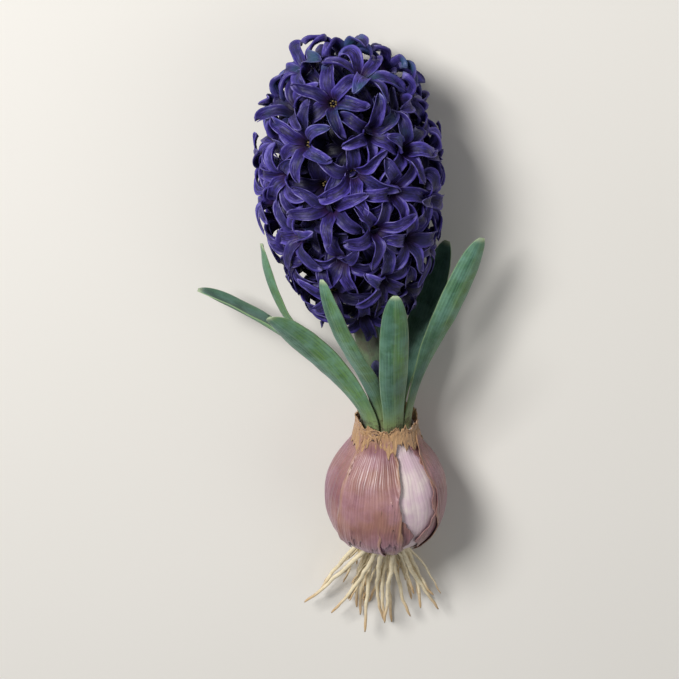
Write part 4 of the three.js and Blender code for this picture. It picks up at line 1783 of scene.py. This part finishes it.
@dataclass
class Bulb:
    """The bulb: firm scales inside, and papery ones round it that tear and curl at their edges."""

    outline: tuple[tuple[float, float], ...] = (
        (13.35, 2.75), (14.6, 0.4), (20.5, 3.2), (26, 10), (28.5, 17.5), (29, 25), (28.2, 32.5),
        (25.2, 40.5), (20.8, 47.5), (16.8, 53.5), (14.9, 59), (14.0, 63.4), (13.9, 66.5), (14.2, 70))
    neck_share: float = 11 / 13
    hole_radius: float = 12.6
    hole_floor: float = 50.0
    neck_radius: float = 14.0
    flutes: int = 26
    flute_depth: float = 0.22
    paper: float = 0.28
    curled: float = 0.14
    sides: int = 128
    scales: tuple[TunicScale, ...] = (
        TunicScale("tunic_main", 118, 163, 0.02, 0.80, 0.10, 0.9, 0.0, 0.02),
        TunicScale("tunic_left", 205, 62, 0.05, 0.84, 0.62, 1.0, 0.1, 0.03),
        TunicScale("tunic_right", 20, 55, 0.10, 0.78, 0.60, 1.3, 0.2, 0.04),
        TunicScale("tunic_front", 252, 33, 0.22, 0.86, 1.15, 1.0, 0.22, 0.06),
        TunicScale("collar_left", 190, 70, 0.72, 0.955, 1.0, 0.7, 1.0, 0.05),
        TunicScale("collar_back", 70, 60, 0.70, 0.93, 0.8, 0.8, 1.0, 0.06),
        TunicScale("collar_front", 295, 58, 0.74, 0.935, 1.3, 0.9, 1.0, 0.06),
    )

    def profile(self, share: Array) -> tuple[Array, Array]:
        """The outline's radius and height at shares of its length.

        Args:
            share: Shares of the outline's length, from the plate.

        Returns:
            The radius and the height at each.
        """
        dense = smooth_line(np.array([(r, z, 0) for r, z in self.outline], float), 40)
        at = np.linspace(0, 1, len(dense))
        return np.interp(share, at, dense[:, 0]), np.interp(share, at, dense[:, 1])

    def surface(self, turn: Array, share: Array, offset: Array | float) -> Array:
        """Points a little way out from the bulb's lobed outside.

        Args:
            turn: The turn of each point, in radians.
            share: Its share of the outline's length.
            offset: How far out it is.

        Returns:
            The points.
        """
        radius, height = self.profile(share)
        r2, h2 = self.profile(share + 0.004)
        slope = np.arctan2(r2 - radius, h2 - height)
        outside = ease((radius - self.neck_radius) / 8)
        lobe = 1 + outside * (0.014 * np.cos(-3 * turn + 0.6) + 0.008 * np.cos(-7 * turn + 1.9))
        out = radius * lobe + offset * np.cos(slope)
        z = height - offset * np.sin(slope)
        return np.stack([out * np.cos(turn), out * np.sin(turn), z], -1)

    def flesh(self) -> Patch:
        """The firm scales: a fluted body with a hole in its neck.

        Returns:
            The patch.
        """
        shares = np.linspace(0, self.neck_share, 72)[:, None]
        turns = ring_turns(self.sides)
        flute = self.flute_depth * np.sin(self.flutes * turns + 2 * np.sin(3 * turns))[None]
        offset = -0.55 + flute * ease((shares - 0.1) / 0.3) * 0.5
        outside = self.surface(turns[None] + 0 * shares, shares + 0 * turns[None], offset)
        hole = [(13.1, 64.0), (12.7, 62.8), (self.hole_radius, 58.0), (self.hole_radius, self.hole_floor)]
        inside = [np.stack([r * np.cos(turns), r * np.sin(turns), 0 * turns + z], -1) for r, z in hole]
        body = np.concatenate([outside, np.array(inside)])
        lying = LYING.down(body)
        lying[..., 2] = np.maximum(lying[..., 2], 0.1)
        turn = np.concatenate([np.tile(turns / math.pi - 1, len(body)), [0, 0]])
        return loft(lying).marked(turn=turn)

    def scale_patch(self, scale: TunicScale, number: int) -> Patch:
        """One papery scale, wrinkled, with torn ends and curled edges.

        Args:
            scale: The scale.
            number: Picks its irregularities.

        Returns:
            The patch.
        """
        cols = max(40, int(scale.half_deg * 1.2))
        rows = max(24, int(110 * (scale.high - scale.low)))
        u = np.linspace(-1, 1, cols + 1)[None]
        v = np.linspace(0, 1, rows + 1)[:, None]
        tears = ripple(number, 5 * u) + 0.5 * ripple(number + 3, 19 * u) + 0.2 * ripple(number + 4, 60 * u)
        ragged = scale.torn * tears
        ragged_low = 0.9 * scale.torn * (ripple(number + 5, 7 * u) + 0.4 * ripple(number + 6, 31 * u))
        share = mix(scale.low + ragged_low, scale.high + ragged, v)
        edge = 1 + 0.09 * ripple(number + 7, 6 * v, 3 * np.sign(u))
        edge = edge + 0.02 * ripple(number + 9, 27 * v, 5 * np.sign(u))
        narrow = mix(1, 0.8, ease((v - 0.7) / 0.3)) if scale.half_deg < 100 else 1.0
        turn = math.radians(scale.centre_deg) + math.radians(scale.half_deg) * u * edge * narrow
        flat = 1 - self.curled
        rim = np.maximum(np.abs(u) - flat, 0) / self.curled
        top = np.maximum(v - flat, 0) / self.curled
        veins = 0.12 * np.sin(150 * turn / math.pi + 1.5 * ripple(number + 11, 3 * v + 0 * u))
        wrinkle = 0.28 * ripple(number + 13, 5 * turn, 5 * v)
        offset = (scale.lift + veins + wrinkle + scale.curl * (rim**2 + 0.8 * top**2)
                  * (0.6 + 0.5 * ripple(number + 15, 6 * v, 4 * u)))
        grid = self.surface(turn + 0 * v, share, offset)
        lying = LYING.down(grid)
        lying[..., 2] = np.maximum(lying[..., 2], 0.2 + 0.12 * scale.lift)
        dry_rim = rim * (0.3 + 0.3 * ripple(number + 17, 9 * v, 4 * u))
        dry = np.clip(scale.dry + 0.8 * ease((share - 0.72) / 0.15) + dry_rim, 0, 1)
        marks = {"along": share + 0 * u, "dry": dry, "turn": (turn + 0 * v) / math.pi}
        half = np.full(grid.shape[:2], self.paper / 2)
        return blade(lying, half).marked(**{name: np.tile(mark.ravel(), 2) for name, mark in marks.items()})

    def build(self, flesh_finish: bpy.types.Material, tunic_finish: bpy.types.Material) -> None:
        """Makes the bulb and its tunic.

        Args:
            flesh_finish: The firm scales' finish.
            tunic_finish: The papery scales' finish.
        """
        piece = Piece("bulb_scales", flesh_finish)
        piece.add(self.flesh())
        piece.build("bulb_tunic", "bulb")
        for number, scale in enumerate(self.scales):
            piece = Piece(scale.name, tunic_finish)
            piece.add(self.scale_patch(scale, 200 + 20 * number))
            piece.build("bulb_tunic", "bulb")


# ---------------------------------------------------------------- roots

@dataclass
class Roots:
    """The basal plate and the roots that grow from it."""

    plate_radius: float = 13.0
    plate_low: float = -3.4
    plate_high: float = 2.4
    count: int = 20
    fine_count: int = 26
    fine_first: int = 100
    base_radius: float = 1.2
    tip_radius: float = 0.6
    shortest: float = 40.0
    longest: float = 62.0
    strides: int = 5
    sides: int = 10

    def root_line(self, i: int, reach: float, turn: float, share: float) -> Array:
        """The line of one root where it lies, as the solids have it.

        Args:
            i: The root's number.
            reach: How far from the plate's middle it starts.
            turn: The turn at which it starts, in radians.
            share: Its length against a main root's.

        Returns:
            The points of the line.
        """
        start = LYING.down(np.array([reach * math.cos(turn), reach * math.sin(turn), self.plate_low + 1.6]))
        length = mix(self.shortest, self.longest, scatter(i, Trait.ROOT_LENGTH)) * share
        fan = 0.5 * math.cos(turn) * reach / self.plate_radius + spread(i, Trait.ROOT_FAN, 0.22)
        bend, droop = spread(i, Trait.ROOT_BEND, 0.4), mix(0.5, 1.0, scatter(i, Trait.ROOT_DROOP))
        points, at = [start + np.array([0, 2.2, 0]), start], start.copy()
        for k in range(1, self.strides + 1):
            t = k / self.strides
            heading = fan + bend * t
            fall = start[2] * droop * (0.62 if t < 0.75 else 0.3) / self.strides * 2
            at = at + np.array([math.sin(heading), -math.cos(heading), 0]) * length / self.strides
            at[2] -= fall
            points.append(at.copy())
        return smooth_line(np.array(points), 7)

    def root_patch(self, i: int, reach: float, turn: float, share: float, size: float) -> Patch:
        """One root, slightly kinked, with a rounded tip.

        Args:
            i: The root's number.
            reach: How far from the plate's middle it starts.
            turn: The turn at which it starts, in radians.
            share: Its length against a main root's.
            size: Its thickness against a main root's.

        Returns:
            The patch.
        """
        line = self.root_line(i, reach, turn, share)
        t = np.linspace(0, 1, len(line))
        radius = mix(self.base_radius, self.tip_radius, t**2) * size * (1 + 0.06 * ripple(i + 300, 30 * t))
        radius = radius * np.sqrt(np.clip((1.015 - t) / 0.05, 0.02, 1))
        kink = 0.5 * ease(t / 0.3)
        across, aloft = kink * ripple(i + 310, 12 * t), 0.6 * kink * ripple(i + 320, 10 * t)
        line = line + np.stack([across, 0 * t, aloft], -1)
        line = LYING.press(line, radius + 0.1)
        lumps = 0.05 * ripple(i + 330, 20 * t[:, None], np.linspace(0, 6, self.sides)[None])
        return loft(rings_along(line, radius, self.sides, lumps))

    def plate(self) -> Patch:
        """The corky plate, uneven, with a rim of scars.

        Returns:
            The patch.
        """
        low, high = self.plate_low, self.plate_high
        outline = [(0.3, low), (5, low - 0.1), (9.4, low), (11.6, -2.6), (13, -1.6), (13.1, 0.4), (13, high),
                   (0.3, high)]
        turns = ring_turns(96)
        rings = []
        for n, (r, z) in enumerate(outline):
            rough = 0.35 * ripple(401 + n, 11 * turns) + 0.2 * np.sin(24 * turns + n)
            lumps = rough * (1 if 0 < n < len(outline) - 1 else 0)
            out = r + lumps * 0.8
            rings.append(np.stack([out * np.cos(turns), out * np.sin(turns),
                                   z + 0.5 * lumps * (1 if n < 4 else 0)], -1))
        return loft(LYING.down(np.array(rings)))

    def build(self, root_finish: bpy.types.Material, plate_finish: bpy.types.Material) -> None:
        """Makes the plate and all roots.

        Args:
            root_finish: The roots' finish.
            plate_finish: The plate's finish.
        """
        piece = Piece("basal_plate", plate_finish)
        piece.add(self.plate())
        piece.build("root", "roots")
        piece = Piece("root_fan", root_finish)
        for i in range(self.count):
            reach = 3 + (self.plate_radius - 4.5) * math.sqrt((i + 0.5) / self.count)
            piece.add(self.root_patch(i, reach, i * GOLDEN_ANGLE, 1.0, 1.0))
        for i in range(self.fine_first, self.fine_first + self.fine_count):
            reach = 4 + 8 * scatter(i, Trait.ROOT_REACH)
            share = mix(0.45, 0.9, scatter(i, Trait.ROOT_SHARE))
            size = mix(0.4, 0.75, scatter(i, Trait.ROOT_SIZE))
            piece.add(self.root_patch(i, reach, i * GOLDEN_ANGLE, share, size))
        piece.build("root", "roots")


# ---------------------------------------------------------------- studio

@dataclass(frozen=True)
class SoftLight:
    """A square soft light: its place and width in metres, and its power in watts."""

    name: str
    place: Point
    size: float
    watts: float


@dataclass
class Studio:
    """The pale floor, the soft lights and the camera, in metres in the row frame."""

    view_deg: float = 67.05
    distance: float = 1.25
    lens: float = 139.0
    sensor: float = 36.0
    aim: Point = (0.0, 0.01, 0.03)
    lit: Point = (0.0, 0.0, 0.03)
    floor_size: float = 6.0
    lights: tuple[SoftLight, ...] = (SoftLight("key", (-0.8, 0.95, 1.3), 0.6, 39.0),
                                     SoftLight("fill", (1.3, -0.3, 1.1), 1.4, 5.0))
    room_colour: tuple[float, float, float, float] = (0.92, 0.95, 1.0, 1.0)
    room_strength: float = 0.19

    def camera(self) -> None:
        """Looks down on the plant from the side of its head, with the head at the top of the picture."""
        slope = math.radians(self.view_deg)
        back = Vector((0, math.cos(slope), math.sin(slope)))
        up = Vector((0, math.sin(slope), -math.cos(slope)))
        data = bpy.data.cameras.new("camera")
        data.lens, data.sensor_width = self.lens, self.sensor
        made = bpy.data.objects.new("camera", data)
        turn = Matrix((Vector((1, 0, 0)), up, back)).transposed().to_4x4()
        made.matrix_world = Matrix.Translation(Vector(self.aim) + back * self.distance) @ turn
        bpy.context.scene.collection.objects.link(made)
        bpy.context.scene.camera = made

    def floor(self, finish: bpy.types.Material) -> None:
        """A wide pale floor.

        Args:
            finish: The floor's finish.
        """
        half = self.floor_size / 2
        corners = [(-half, -half, 0), (half, -half, 0), (half, half, 0), (-half, half, 0)]
        mesh = bpy.data.meshes.new("floor")
        mesh.from_pydata(corners, [], [(0, 1, 2, 3)])
        mesh.materials.append(finish)
        made = bpy.data.objects.new("floor", mesh)
        bpy.context.scene.collection.objects.link(made)

    def light(self, lamp: SoftLight) -> None:
        """Sets up a light that shines at the plant.

        Args:
            lamp: The light.
        """
        data = bpy.data.lights.new(lamp.name, "AREA")
        data.size, data.energy = lamp.size, lamp.watts
        made = bpy.data.objects.new(lamp.name, data)
        made.location = lamp.place
        made.rotation_mode = "QUATERNION"
        made.rotation_quaternion = (Vector(self.lit) - Vector(lamp.place)).to_track_quat("-Z", "Y")
        bpy.context.scene.collection.objects.link(made)

    def build(self, finish: bpy.types.Material) -> None:
        """Sets up everything round the plant.

        Args:
            finish: The floor's finish.
        """
        self.camera()
        self.floor(finish)
        for lamp in self.lights:
            self.light(lamp)
        world = bpy.data.worlds.new("room")
        world.use_nodes = True
        glow = world.node_tree.nodes["Background"].inputs
        glow["Color"].default_value = self.room_colour
        glow["Strength"].default_value = self.room_strength
        bpy.context.scene.world = world
        bpy.context.scene.view_settings.view_transform = "Standard"


def main() -> None:
    """Builds every piece of the plant in order, and the studio round it."""
    logging.basicConfig(level=logging.INFO, format="%(message)s")
    effects = Effects()
    spine = Spine()
    stem_finish = StemFinish().make(effects)
    Stem().build(spine, stem_finish)
    LowBud().build(BudFinish().make(effects))
    Foliage().build(LeafFinish().make(effects))
    FlowerHead(Skin(spine)).build(PetalFinish().make(effects), TubeFinish().make(effects),
                                  AntherFinish().make(effects), stem_finish)
    Bulb().build(FleshFinish().make(effects), TunicFinish().make(effects))
    Roots().build(RootFinish().make(effects), PlateFinish().make(effects))
    Studio().build(FloorFinish().make(effects))


if __name__ == "__main__":
    main()
